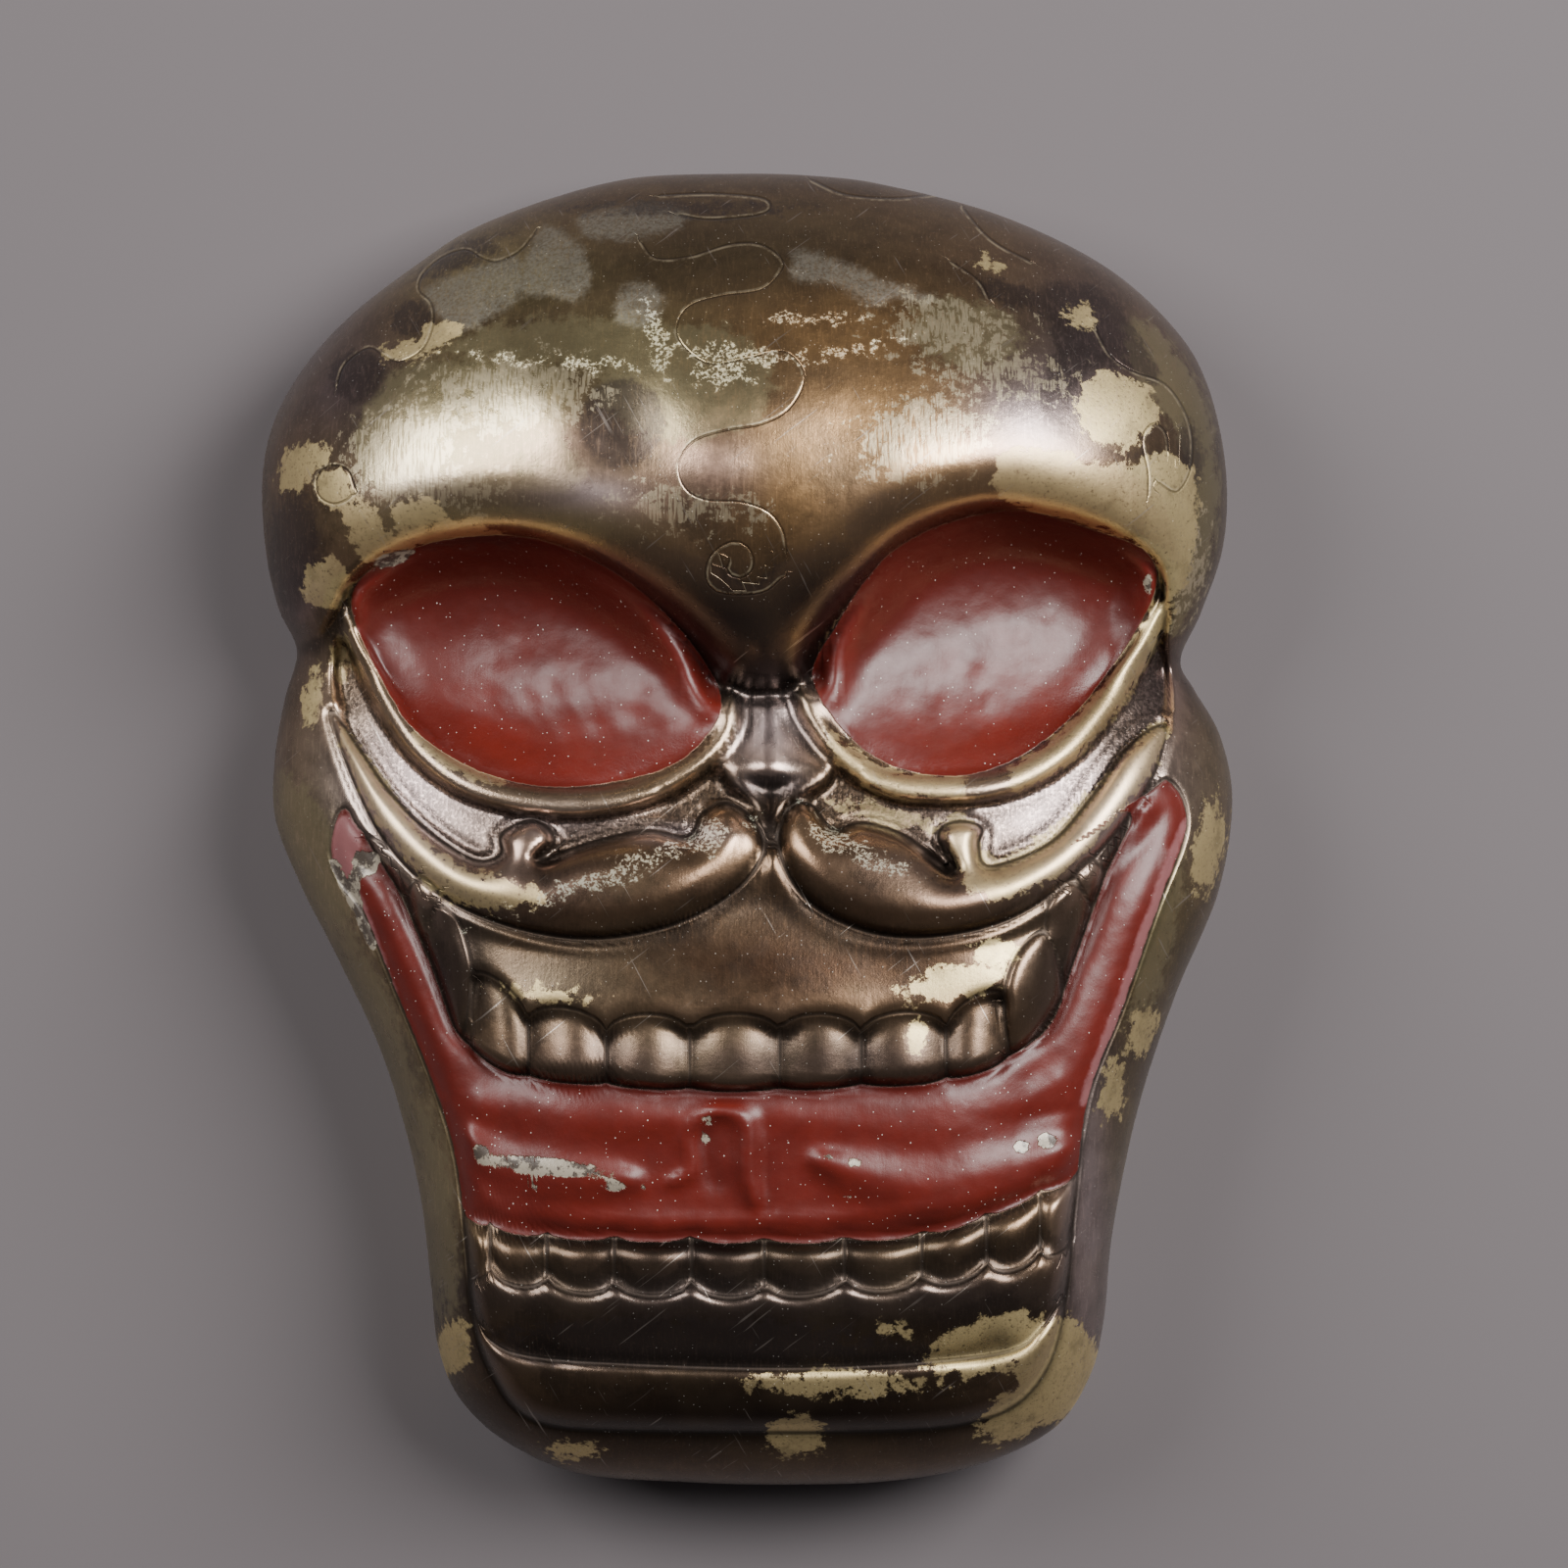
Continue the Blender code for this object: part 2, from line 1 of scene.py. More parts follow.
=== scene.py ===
# Citipati mask: hammered and chased brass under a dark, worn patina, painted red in the eyes and mouth.
# Shapes are drawn in the units of the front view (x right, y down) and lifted to real heights.
from math import pi, radians
import bpy
import numpy as np
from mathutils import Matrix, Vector


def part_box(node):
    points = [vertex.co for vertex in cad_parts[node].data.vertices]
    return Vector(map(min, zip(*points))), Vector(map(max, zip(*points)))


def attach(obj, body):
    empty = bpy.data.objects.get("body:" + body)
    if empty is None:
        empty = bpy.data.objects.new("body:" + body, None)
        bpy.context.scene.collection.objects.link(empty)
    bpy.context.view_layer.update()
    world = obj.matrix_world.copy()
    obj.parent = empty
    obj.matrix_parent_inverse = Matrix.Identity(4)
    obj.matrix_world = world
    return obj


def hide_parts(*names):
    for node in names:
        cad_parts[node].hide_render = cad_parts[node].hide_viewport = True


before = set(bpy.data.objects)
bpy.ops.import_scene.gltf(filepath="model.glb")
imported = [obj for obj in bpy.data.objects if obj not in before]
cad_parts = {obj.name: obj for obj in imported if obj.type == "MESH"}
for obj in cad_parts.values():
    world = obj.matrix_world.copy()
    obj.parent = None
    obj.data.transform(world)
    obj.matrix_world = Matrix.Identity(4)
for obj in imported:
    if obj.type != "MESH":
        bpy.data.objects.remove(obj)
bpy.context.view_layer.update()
low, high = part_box("mask")
print("frame loaded, mask box", [round(v, 4) for v in low], [round(v, 4) for v in high])

drawing = {
    "centre": (762.5, 846.0),       # middle of the mask in the front view
    "size": (991.0, 1338.0),        # its width and height there
    "viewAxis": (800.0, 800.0),     # the point the viewer looks straight at
    "viewDistance": 1.6,            # metres from the rim's plane
    "frameSize": 1600.0,
}
sheet = {
    "width": high[0] - low[0], "height": high[1] - low[1],
    "wall": 0.0012, "sideHeight": 0.028, "rimTuck": 0.003, "unevenness": 0.00035,
    "columns": 237, "rows": 317, "faceShare": 0.885, "finer": 2,
    "foreheadHeight": 0.082, "faceHeight": 0.058,
    "foreheadSquareness": 2.35, "jawSquareness": 4.2,
    "foreheadProfile": [(177, 0.90), (250, 0.99), (340, 1.00), (420, 1.00), (500, 0.93), (580, 0.80),
                        (640, 0.67), (700, 0.54), (760, 0.48)],
    "faceProfile": [(500, 0.72), (640, 0.66), (720, 0.68), (790, 0.76), (880, 0.87), (980, 0.96),
                    (1060, 1.00), (1130, 0.97), (1220, 0.93), (1300, 0.93), (1400, 0.93), (1515, 0.84)],
}
silhouette = [
    (750, 177), (650, 181), (566, 201), (483, 233), (428, 268), (360, 320), (313, 371), (281, 427),
    (268, 486), (271, 560), (284, 620), (303, 664), (291, 712), (281, 770), (281, 835), (308, 905),
    (345, 978), (386, 1065), (412, 1145), (430, 1225), (440, 1310), (447, 1372), (468, 1425),
    (515, 1470), (590, 1503), (693, 1512), (800, 1515), (910, 1511), (1000, 1494), (1075, 1458),
    (1112, 1405), (1127, 1345), (1136, 1255), (1162, 1130), (1200, 1015), (1243, 912), (1258, 820),
    (1246, 752), (1220, 705), (1205, 673), (1226, 625), (1249, 555), (1251, 475), (1232, 391),
    (1197, 333), (1127, 271), (1022, 220), (906, 189), (830, 179)]


def spline(points, closed=False, steps=6):
    # Catmull-Rom: each stretch is the cubic through two points with slopes set by their neighbours
    p = np.array(points, dtype=float)
    if closed:
        p = np.vstack([p[-1:], p, p[:2]])
    else:
        p = np.vstack([2 * p[:1] - p[1:2], p, 2 * p[-1:] - p[-2:-1]])
    t = np.linspace(0.0, 1.0, steps, endpoint=False)[None, :, None]
    a, b, c, d = p[:-3, None], p[1:-2, None], p[2:-1, None], p[3:, None]
    q = 0.5 * (2 * b + (c - a) * t + (2 * a - 5 * b + 4 * c - d) * t ** 2
               + (3 * b - a - 3 * c + d) * t ** 3)
    q = q.reshape(-1, p.shape[1])
    return q if closed else np.vstack([q, p[-2:-1]])


def ramp(value, start, end):
    # smooth step from 0 at start to 1 at end
    s = np.clip((value - start) / (end - start), 0.0, 1.0)
    return s * s * (3.0 - 2.0 * s)


def rounded(value, width):
    # quarter circle: 0 at the edge, 1 from width inwards
    s = np.clip(value / width, 0.0, 1.0)
    return np.sqrt(1.0 - (1.0 - s) ** 2)


def softMin(a, b, corner=0.004):
    # the lower of two heights with the corner rounded: half of a + b - sqrt((a - b)^2 + corner^2)
    return 0.5 * (a + b - np.sqrt((a - b) ** 2 + corner ** 2))


def curveAt(pairs, place):
    # the second value of a smooth line of pairs, read at a given first value
    line = spline(pairs)
    return np.interp(place, line[:, 0], line[:, 1])


def nearest(x, y, line, reach):
    # distance to an open line, the side of it, and its third value at the nearest point
    away = np.full(x.shape, float(reach))
    side = np.ones(x.shape)
    width = np.ones(x.shape)
    near = ((x > line[:, 0].min() - reach) & (x < line[:, 0].max() + reach)
            & (y > line[:, 1].min() - reach) & (y < line[:, 1].max() + reach))
    xs, ys = x[near], y[near]
    best, turn, wide = away[near], side[near], width[near]
    for p, q in zip(line[:-1], line[1:]):
        run = q[:2] - p[:2]
        along = np.clip(((xs - p[0]) * run[0] + (ys - p[1]) * run[1]) / (run @ run), 0.0, 1.0)
        dx, dy = xs - p[0] - along * run[0], ys - p[1] - along * run[1]
        gap = np.hypot(dx, dy)
        closer = gap < best
        best = np.where(closer, gap, best)
        turn = np.where(closer, np.sign(run[0] * dy - run[1] * dx), turn)
        if line.shape[1] > 2:
            wide = np.where(closer, p[2] + along * (q[2] - p[2]), wide)
    away[near], side[near], width[near] = best, turn, wide
    return away, side, width


def depthInside(x, y, outline, reach=130.0):
    # distance to a closed outline, positive inside, by the even-odd rule
    ring = spline(outline, closed=True)
    ring = np.vstack([ring, ring[:1]])
    away = nearest(x, y, ring, reach)[0]
    inside = np.zeros(x.shape, dtype=bool)
    for p, q in zip(ring[:-1], ring[1:]):
        if p[1] != q[1]:
            crosses = ((p[1] > y) != (q[1] > y)) & (x < (q[0] - p[0]) * (y - p[1]) / (q[1] - p[1]) + p[0])
            inside ^= crosses
    return np.where(inside, away, -away)


def bar(x, y, line, reach=40.0):
    # half-round bar along a line of (x, y, half width), 1 on its crest
    away, _, width = nearest(x, y, spline(line), reach)
    return np.sqrt(np.clip(1.0 - (away / width) ** 2, 0.0, 1.0))


def mound(x, y, line, reach=60.0):
    # soft bell along a line of (x, y, half width)
    away, _, width = nearest(x, y, spline(line), reach)
    return np.exp(-(away / (0.6 * width)) ** 2)


def swell(x, y, seed, size, waves=14):
    # slow hand-made unevenness: a sum of sines in many directions, about -1 to 1
    turn = np.random.default_rng(seed)
    total = np.zeros(x.shape)
    for _ in range(waves):
        angle, phase, pace = turn.uniform(0, pi), turn.uniform(0, 2 * pi), turn.uniform(0.6, 1.5)
        total += np.sin(2 * pi * pace * (x * np.cos(angle) + y * np.sin(angle)) / size + phase)
    return total / waves ** 0.5


def blurred(z, reach, times=3):
    # repeated running means along both ways of the grid
    for _ in range(times):
        for axis in (0, 1):
            wide = np.pad(z, [(reach + 1, reach) if axis == k else (0, 0) for k in (0, 1)], mode="edge")
            total = np.cumsum(wide, axis=axis)
            count = z.shape[axis]
            upper = np.take(total, np.arange(2 * reach + 1, 2 * reach + 1 + count), axis=axis)
            z = (upper - np.take(total, np.arange(count), axis=axis)) / (2 * reach + 1)
    return z


def cushion(inside, width, reach=4):
    # a quarter-round edge whose middle is smoothed, so that no crest is left along its middle line
    shape = rounded(inside, width)
    return shape + (blurred(shape, reach, 2) - shape) * ramp(inside, 4.0, 20.0)


forehead = {
    "outline": [
        (150, 700), (304, 664), (342, 628), (360, 598), (400, 569), (450, 552), (520, 548), (590, 567),
        (655, 606), (705, 655), (737, 700), (785, 712), (824, 697), (840, 655), (880, 597), (935, 547),
        (1010, 521), (1090, 531), (1150, 554), (1182, 583), (1190, 630), (1205, 673), (1380, 700),
        (1380, 50), (150, 50)],
    "roll": 0.015, "rollWidth": 72.0, "rise": 0.013, "riseWidth": 60.0, "lip": 0.004,
    "hollows": [(642, 438, 50, 55, -0.0022), (1060, 330, 60, 60, -0.0008), (450, 330, 50, 45, 0.0006),
                (730, 478, 34, 28, 0.0010), (860, 420, 60, 50, -0.0008), (560, 340, 90, 30, -0.0005)],
}
eyes = {
    "leftOutline": [
        (356, 612), (400, 566), (480, 545), (560, 551), (640, 590), (700, 646), (737, 706), (728, 745),
        (680, 786), (580, 805), (500, 793), (430, 754), (392, 702)],
    "rightOutline": [
        (828, 696), (850, 640), (900, 570), (960, 534), (1040, 519), (1120, 540), (1172, 562),
        (1182, 600), (1150, 662), (1090, 738), (1020, 784), (950, 793), (880, 766)],
    # each bowl's deepest point, its reach towards the nose and outwards, its half width and slope
    "leftBowl": (480, 668, 268, 150, 158, 0.30), "rightBowl": (1078, 640, -268, -140, 162, -0.30),
    "leftBead": [
        (350, 624, 6), (368, 664, 9), (394, 714, 12), (430, 764, 14), (480, 800, 15), (545, 817, 15),
        (610, 818, 15), (670, 803, 14), (718, 774, 12), (744, 738, 10), (744, 712, 6)],
    "rightBead": [
        (816, 702, 6), (828, 730, 10), (858, 768, 12), (905, 799, 14), (965, 806, 15), (1030, 797, 15),
        (1085, 766, 15), (1130, 716, 13), (1163, 668, 11), (1187, 620, 8)],
    "depth": 0.0115, "lip": 0.0015, "beadHeight": 0.0042, "beadSink": 0.0016,
    "beadColour": (0.150, 0.112, 0.072), "dentStrength": 0.9,
    # blows struck from behind: x, y, half size, height in metres
    "dents": [
        (538, 710, 13, .0007), (562, 700, 12, .0007), (552, 680, 12, -.0004), (608, 738, 14, .0008),
        (644, 728, 14, .0009), (655, 700, 14, .0009), (628, 712, 9, -.0004), (580, 742, 16, .0006),
        (585, 716, 10, -.0005), (505, 672, 16, .0005), (530, 660, 14, .0004), (565, 655, 16, .0004),
        (610, 690, 14, -.0004), (695, 738, 11, .0006), (712, 728, 9, .0006), (600, 665, 18, .0003),
        (500, 710, 16, .0004), (668, 742, 10, .0005), (905, 690, 20, .0004), (925, 712, 14, .0005),
        (945, 690, 16, .0005), (938, 706, 8, -.0004), (970, 676, 16, .0006), (992, 668, 12, -.0005),
        (1000, 690, 14, .0006), (948, 655, 8, -.0006), (1018, 652, 14, .0006), (1034, 630, 7, -.0006),
        (1042, 648, 10, .0007), (985, 640, 10, -.0004), (1072, 628, 8, .0006), (1075, 650, 8, .0004),
        (1115, 605, 14, .0004), (1155, 603, 10, .0008), (1145, 620, 8, .0005), (962, 722, 12, .0005),
        (1010, 715, 12, .0004), (880, 700, 12, .0003)],
}
cheeks = {
    "leftField": [
        (338, 668), (352, 648), (430, 700), (600, 770), (740, 730), (752, 745), (744, 790), (776, 830),
        (720, 890), (560, 920), (450, 890), (385, 815), (345, 735)],
    "rightField": [
        (1190, 650), (1165, 640), (1060, 720), (940, 770), (820, 720), (812, 745), (845, 790),
        (792, 830), (850, 900), (980, 920), (1080, 880), (1150, 800), (1196, 738)],
    "leftScroll": [
        (338, 727), (368, 766), (398, 808), (440, 850), (485, 878), (511, 872), (512, 851), (545, 836),
        (567, 856), (552, 878), (600, 860), (660, 847), (702, 853), (716, 830), (742, 819), (770, 838),
        (780, 870), (750, 910), (690, 943), (610, 958), (530, 948), (455, 917), (398, 865), (362, 800)],
    "rightScroll": [
        (1188, 740), (1150, 763), (1115, 812), (1072, 860), (1010, 884), (999, 862), (1002, 844),
        (976, 838), (957, 852), (972, 888), (925, 853), (880, 839), (850, 846), (830, 822), (808, 822),
        (794, 856), (806, 896), (838, 930), (895, 953), (960, 955), (1030, 938), (1092, 898),
        (1145, 842), (1180, 786)],
    "fieldDepth": 0.005, "scrollFoot": 0.0015, "scrollHeight": 0.0088, "scrollWidth": 38.0,
    "rimGap": 10.0, "rimHeight": 0.0007, "groove": 0.0012,
}
nose = {
    "outline": [(757, 706), (754, 740), (729, 787), (755, 780), (786, 790), (815, 780), (853, 786),
                (820, 740), (810, 706)],
    "notch": [(740, 786), (786, 791), (840, 786), (815, 808), (796, 832), (786, 866), (777, 832),
              (760, 808)],
    "height": 0.005, "ridge": 0.0009, "panel": 0.0030, "notchDepth": 0.0036,
    "middle": 785.5, "top": 700.0, "foot": 790.0, "halfTop": 27.0, "flare": 34.0, "ridgeWidth": 4.5,
}
mouth = {
    "frame": [
        (352, 824), (337, 862), (346, 896), (370, 930), (402, 1008), (442, 1108), (464, 1180),
        (475, 1265), (483, 1345), (502, 1402), (545, 1450), (650, 1461), (900, 1461), (1010, 1447),
        (1062, 1408), (1086, 1340), (1098, 1225), (1112, 1120), (1147, 1028), (1182, 928), (1212, 842),
        (1193, 796), (1160, 815), (1000, 900), (780, 860), (560, 900), (390, 860)],
    "upperJaw": [
        (374, 838), (410, 914), (440, 984), (468, 1056), (500, 1085), (540, 1100), (620, 1108),
        (705, 1113), (795, 1113), (878, 1109), (960, 1104), (1030, 1082), (1072, 1044), (1095, 984),
        (1126, 898), (1152, 828), (1060, 870), (780, 850), (500, 880)],
    # x of each gap between teeth, the gum's height there, and the tooth's far end
    "upperTeeth": [
        (481, 1000, 1072), (539, 1042, 1098), (619, 1055, 1108), (704, 1055, 1113),
        (796, 1054, 1113), (879, 1055, 1109), (966, 1050, 1103), (1028, 1022, 1082)],
    "leaves": [
        [(450, 925), (463, 934), (471, 947), (479, 974), (481, 995), (478, 1025), (474, 1051), (470, 1065),
         (464, 1050), (452, 1012), (440, 978), (434, 960), (440, 936)],
        [(436, 898), (446, 910), (443, 930), (434, 960), (424, 944), (417, 916), (424, 898)],
        [(1065, 951), (1077, 970), (1084, 1011), (1080, 1024), (1065, 1045), (1050, 1066), (1034, 1083),
         (1028, 1058), (1025, 1020), (1031, 990), (1044, 966)],
        [(1093, 901), (1107, 912), (1115, 932), (1108, 960), (1096, 990), (1087, 1006), (1078, 972),
         (1067, 949), (1070, 925), (1080, 908)],
        [(1114, 876), (1126, 888), (1130, 910), (1122, 928), (1113, 922), (1104, 906), (1098, 894),
         (1103, 882)]],
    "leafHeight": 0.0020, "arch": 20.0, "sag": 18.0, "upperScallop": 4.5, "lowerScallop": 9.0,
    "lowerTeeth": [
        (470, 1232, 1285), (500, 1247, 1290), (558, 1256, 1300), (627, 1259, 1305), (706, 1260, 1305),
        (780, 1261, 1308), (862, 1260, 1302), (941, 1255, 1298), (1007, 1236, 1285), (1062, 1212, 1272),
        (1098, 1196, 1252)],
    "chinLine": [
        (483, 1338), (500, 1368), (540, 1385), (650, 1393), (800, 1397), (930, 1392), (1030, 1380),
        (1062, 1358), (1082, 1330)],
    "depth": 0.0095, "roll": 0.0042, "upperHeight": 0.0098, "lowerHeight": 0.0070,
    "toothReach": 62.0, "toothFlare": 0.20, "toothBulge": 0.0032, "toothStep": 0.0006,
    "gumRoll": 0.0034, "chinRoll": 0.0038,
    # folds of the painted metal: height in metres, then x, y and half width along each
    "folds": [
        (0.0026, [(478, 1160, 18), (500, 1184, 34), (550, 1198, 40), (600, 1202, 34), (645, 1204, 18)]),
        (0.0034, [(838, 1184, 18), (880, 1200, 42), (945, 1212, 52), (1005, 1200, 50), (1060, 1184, 36),
                  (1096, 1170, 18)]),
        (0.0034, [(732, 1132, 10), (756, 1140, 18), (764, 1162, 21), (762, 1192, 17), (772, 1228, 9)]),
        (0.0027, [(727, 1134, 7), (710, 1144, 11), (700, 1162, 12), (706, 1182, 11), (702, 1198, 9),
                  (684, 1208, 6)]),
        (0.0009, [(471, 1190, 8), (487, 1212, 9), (514, 1231, 9), (568, 1241, 9), (720, 1246, 8),
                  (907, 1238, 9), (1010, 1221, 9), (1079, 1193, 9), (1100, 1180, 6)]),
        (0.0014, [(490, 1126, 26), (560, 1140, 34), (640, 1146, 30), (690, 1142, 18)]),
        (0.0010, [(800, 1142, 24), (880, 1148, 30), (960, 1150, 30), (1030, 1130, 28), (1080, 1104, 20)]),
        (-0.0018, [(778, 1148, 5), (781, 1190, 5), (784, 1236, 5)]),
        (-0.0010, [(990, 1143, 4), (1040, 1140, 4), (1101, 1131, 4)]),
        (-0.0014, [(719, 1152, 10), (720, 1180, 13), (730, 1210, 11)]),
        (0.0014, [(383, 974, 5), (410, 1035, 6), (434, 1092, 6), (452, 1126, 5)]),
        (0.0012, [(1196, 870, 6), (1168, 955, 7), (1135, 1040, 7), (1112, 1100, 6)])],
}


def toothPlace(x, gaps):
    # from -1 to 1 across each tooth
    place = np.interp(x, [g[0] for g in gaps], np.arange(len(gaps)))
    return 2.0 * (place - np.floor(place)) - 1.0


def toothArch(x, gaps):
    # half circle over each tooth: sqrt(1 - place^2), 0 at the gaps and 1 in the middle
    return np.sqrt(np.clip(1.0 - toothPlace(x, gaps) ** 2, 0.0, 1.0))


def teethAcross(x, y, gaps, arch, sag):
    # the fall across each tooth, depth below the arched gum line, and height above the lower ends
    gap = np.array(gaps, dtype=float)
    crown = toothArch(x, gaps)
    below = y - (np.interp(x, gap[:, 0], gap[:, 1]) - arch * crown)
    above = np.interp(x, gap[:, 0], gap[:, 2]) + sag * crown - y
    within = (x > gap[0, 0]) & (x < gap[-1, 0])
    fall = toothPlace(x, gaps) ** 2 * within
    return fall, np.where(within, below, -99.0), np.where(within, above, -99.0)


def leafDepth(x, y):
    # distance to the edge of the leaf that a point lies in, negative outside all of them
    depth = [depthInside(x, y, leaf, 60.0) for leaf in mouth["leaves"]]
    return np.max(depth, axis=0)


def mouthFields(x, y):
    # distances inside the mouth, the upper jaw and the lower jaw, each tooth's end scalloped by its arch
    opening = depthInside(x, y, mouth["frame"])
    upper = depthInside(x, y, mouth["upperJaw"])
    notched = mouth["upperScallop"] * (1.0 - toothArch(x, mouth["upperTeeth"]))
    upper = upper - notched * ramp(y, 1050.0, 1080.0)
    gap = np.array(mouth["lowerTeeth"], dtype=float)
    scallop = mouth["lowerScallop"] * toothArch(x, mouth["lowerTeeth"])
    lower = np.minimum(y - np.interp(x, gap[:, 0], gap[:, 1]) - scallop, opening)
    return opening, upper, lower


def addMouth(x, y, face, z):
    # a sunk floor with a roll along its edges and soft folds, and over it the two jaws: each tooth is a
    # flared strip that falls by the square of its place, with the gum and the chin as quarter-round rolls
    opening, upper, lower = mouthFields(x, y)
    floor = face - mouth["depth"] * (0.4 + 0.6 * ramp(opening, 0.0, 70.0))
    gap = np.minimum(opening, np.minimum(-upper, -lower))
    folds = sum(height * mound(x, y, fold) for height, fold in mouth["folds"])
    inner = floor + mouth["roll"] * rounded(gap, 24.0) + folds
    fall, below, _ = teethAcross(x, y, mouth["upperTeeth"], mouth["arch"], 0.0)
    groove = np.exp(-((below + 1.0) / 4.0) ** 2) * (below > -90.0)
    swollen = cushion(upper, mouth["toothReach"], 6)
    flared = 0.95 - mouth["toothFlare"] * np.clip(upper / mouth["toothReach"], 0.0, 1.0)
    flared = flared * ramp(upper, 0.0, 5.0)
    swollen = swollen + (flared - swollen) * ramp(below, -1.0, 6.0)
    teeth = floor + mouth["upperHeight"] * swollen
    teeth = teeth - mouth["toothBulge"] * fall * ramp(below, 0.0, 6.0) - mouth["toothStep"] * groove
    teeth = teeth + mouth["leafHeight"] * rounded(leafDepth(x, y), 12.0)
    inner = np.where(upper > 0.0, teeth, inner)
    fall, _, above = teethAcross(x, y, mouth["lowerTeeth"], 0.0, mouth["sag"])
    row = ramp(above, 0.0, 5.0)
    chinY = curveAt(mouth["chinLine"], x)
    under = y - chinY
    gum = rounded(-above, 12.0) * np.clip(-under / np.maximum(-under - above, 1.0), 0.0, 1.0)
    chin = rounded(under, 14.0) * (1.0 - 0.85 * np.clip(under / np.maximum(1461.0 - chinY, 1.0), 0.0, 1.0))
    teeth = 0.8 * np.clip(above / 60.0, 0.0, 1.0) - 0.7 * mouth["toothBulge"] * fall / mouth["gumRoll"]
    jaw = floor + mouth["lowerHeight"] * rounded(lower, 26.0)
    jaw = jaw + mouth["gumRoll"] * (row * teeth + (1.0 - row) * gum * (above > -90.0))
    jaw = jaw + mouth["chinRoll"] * chin
    inner = np.where(lower > 0.0, jaw, inner)
    return z + (inner - z) * ramp(opening, -3.0, 6.0)


def addNose(x, y, face, z):
    # two flat panels that slope away from a thin ridge and rise towards the foot, over a deep notch
    inside = depthInside(x, y, nose["outline"])
    away = x - nose["middle"]
    spread = np.abs(away) / (nose["halfTop"] + nose["flare"] * ramp(y, 725.0, nose["foot"]))
    panels = nose["ridge"] * np.exp(-(away / nose["ridgeWidth"]) ** 2)
    panels = panels - nose["panel"] * np.clip(spread, 0.0, 1.2)
    rise = np.clip((y - nose["top"]) / (nose["foot"] - nose["top"]), 0.0, 1.0)
    fan = face - 0.6 * cheeks["fieldDepth"] + nose["height"] * rise
    z = z - nose["notchDepth"] * ramp(depthInside(x, y, nose["notch"]), 0.0, 18.0)
    return z + (fan + panels - z) * ramp(inside, -2.0, 5.0)


def addScrolls(x, y, face, z):
    # each scroll is one cushion with a groove round its foot and a thin bell-shaped rim outside that
    for key in ("leftScroll", "rightScroll"):
        inside = depthInside(x, y, cheeks[key])
        puff = cheeks["scrollHeight"] * cushion(inside, cheeks["scrollWidth"])
        z = z + (face - cheeks["scrollFoot"] + puff - z) * ramp(inside, 0.0, 4.0)
        z = z + cheeks["rimHeight"] * np.exp(-((inside + cheeks["rimGap"]) / 3.5) ** 2)
        z = z - cheeks["groove"] * np.exp(-((inside + 1.0) / 4.0) ** 2)
    return z


def addEyes(x, y, face, browZ, aboveBrow, z):
    # each bowl sinks by (1 - along^2 - across^2)^1.5 on slanted axes, rises to meet the brow, and has a
    # half-round bead under it, and each dent is a bell
    for side in ("left", "right"):
        midX, midY, inwards, outwards, width, slope = eyes[side + "Bowl"]
        inside = depthInside(x, y, eyes[side + "Outline"])
        along = (x - midX) + slope * (y - midY)
        along = along / np.where(along * inwards > 0.0, inwards, outwards)
        across = ((y - midY) - slope * (x - midX)) / width
        bowl = np.clip(1.0 - along ** 2 - across ** 2, 0.0, 1.0) ** 1.5
        bowl = bowl * (0.75 + 0.25 * ramp(inside, 0.0, 50.0))
        underBrow = 1.0 - np.clip(-aboveBrow / forehead["riseWidth"], 0.0, 1.0)
        floor = face - eyes["lip"] - eyes["depth"] * bowl + forehead["rise"] * underBrow ** 2
        floor = softMin(floor, browZ - forehead["lip"] + 0.05 * (1.0 - underBrow))
        z = z + (floor - z) * ramp(inside, -4.0, 5.0)
        bead = bar(x, y, eyes[side + "Bead"])
        z = np.where(bead > 0.0, np.maximum(z, face - eyes["beadSink"] + eyes["beadHeight"] * bead), z)
    for dentX, dentY, size, height in eyes["dents"]:
        away = (x - dentX) ** 2 + (y - dentY) ** 2
        z = z + eyes["dentStrength"] * height * np.exp(-away / (0.75 * size) ** 2)
    return z


def heights(x, y, share):
    # base domes that fall off to the side wall, with each form laid on or sunk in
    jaw = ramp(y, 560.0, 820.0)
    squareness = sheet["foreheadSquareness"] + (sheet["jawSquareness"] - sheet["foreheadSquareness"]) * jaw
    fall = np.sqrt(np.clip(1.0 - share ** squareness, 0.0, 1.0))
    side = sheet["sideHeight"]
    browZ = side + sheet["foreheadHeight"] * curveAt(sheet["foreheadProfile"], y) * fall
    face = side + sheet["faceHeight"] * curveAt(sheet["faceProfile"], y) * fall
    aboveBrow = depthInside(x, y, forehead["outline"])
    browZ = browZ - forehead["roll"] * (1.0 - rounded(aboveBrow, forehead["rollWidth"])) * fall
    for midX, midY, halfX, halfY, height in forehead["hollows"]:
        browZ = browZ + height * np.exp(-((x - midX) / halfX) ** 2 - ((y - midY) / halfY) ** 2)
    z = face
    for key in ("leftField", "rightField"):
        z = z - cheeks["fieldDepth"] * ramp(depthInside(x, y, cheeks[key]), 0.0, 10.0)
    z = addMouth(x, y, face, z)
    z = addNose(x, y, face, z)
    z = addScrolls(x, y, face, z)
    z = addEyes(x, y, face, browZ, aboveBrow, z)
    z = z + (browZ - z) * ramp(aboveBrow, -4.0, 5.0)
    return z + sheet["unevenness"] * swell(x, y, 5, 150.0) * fall


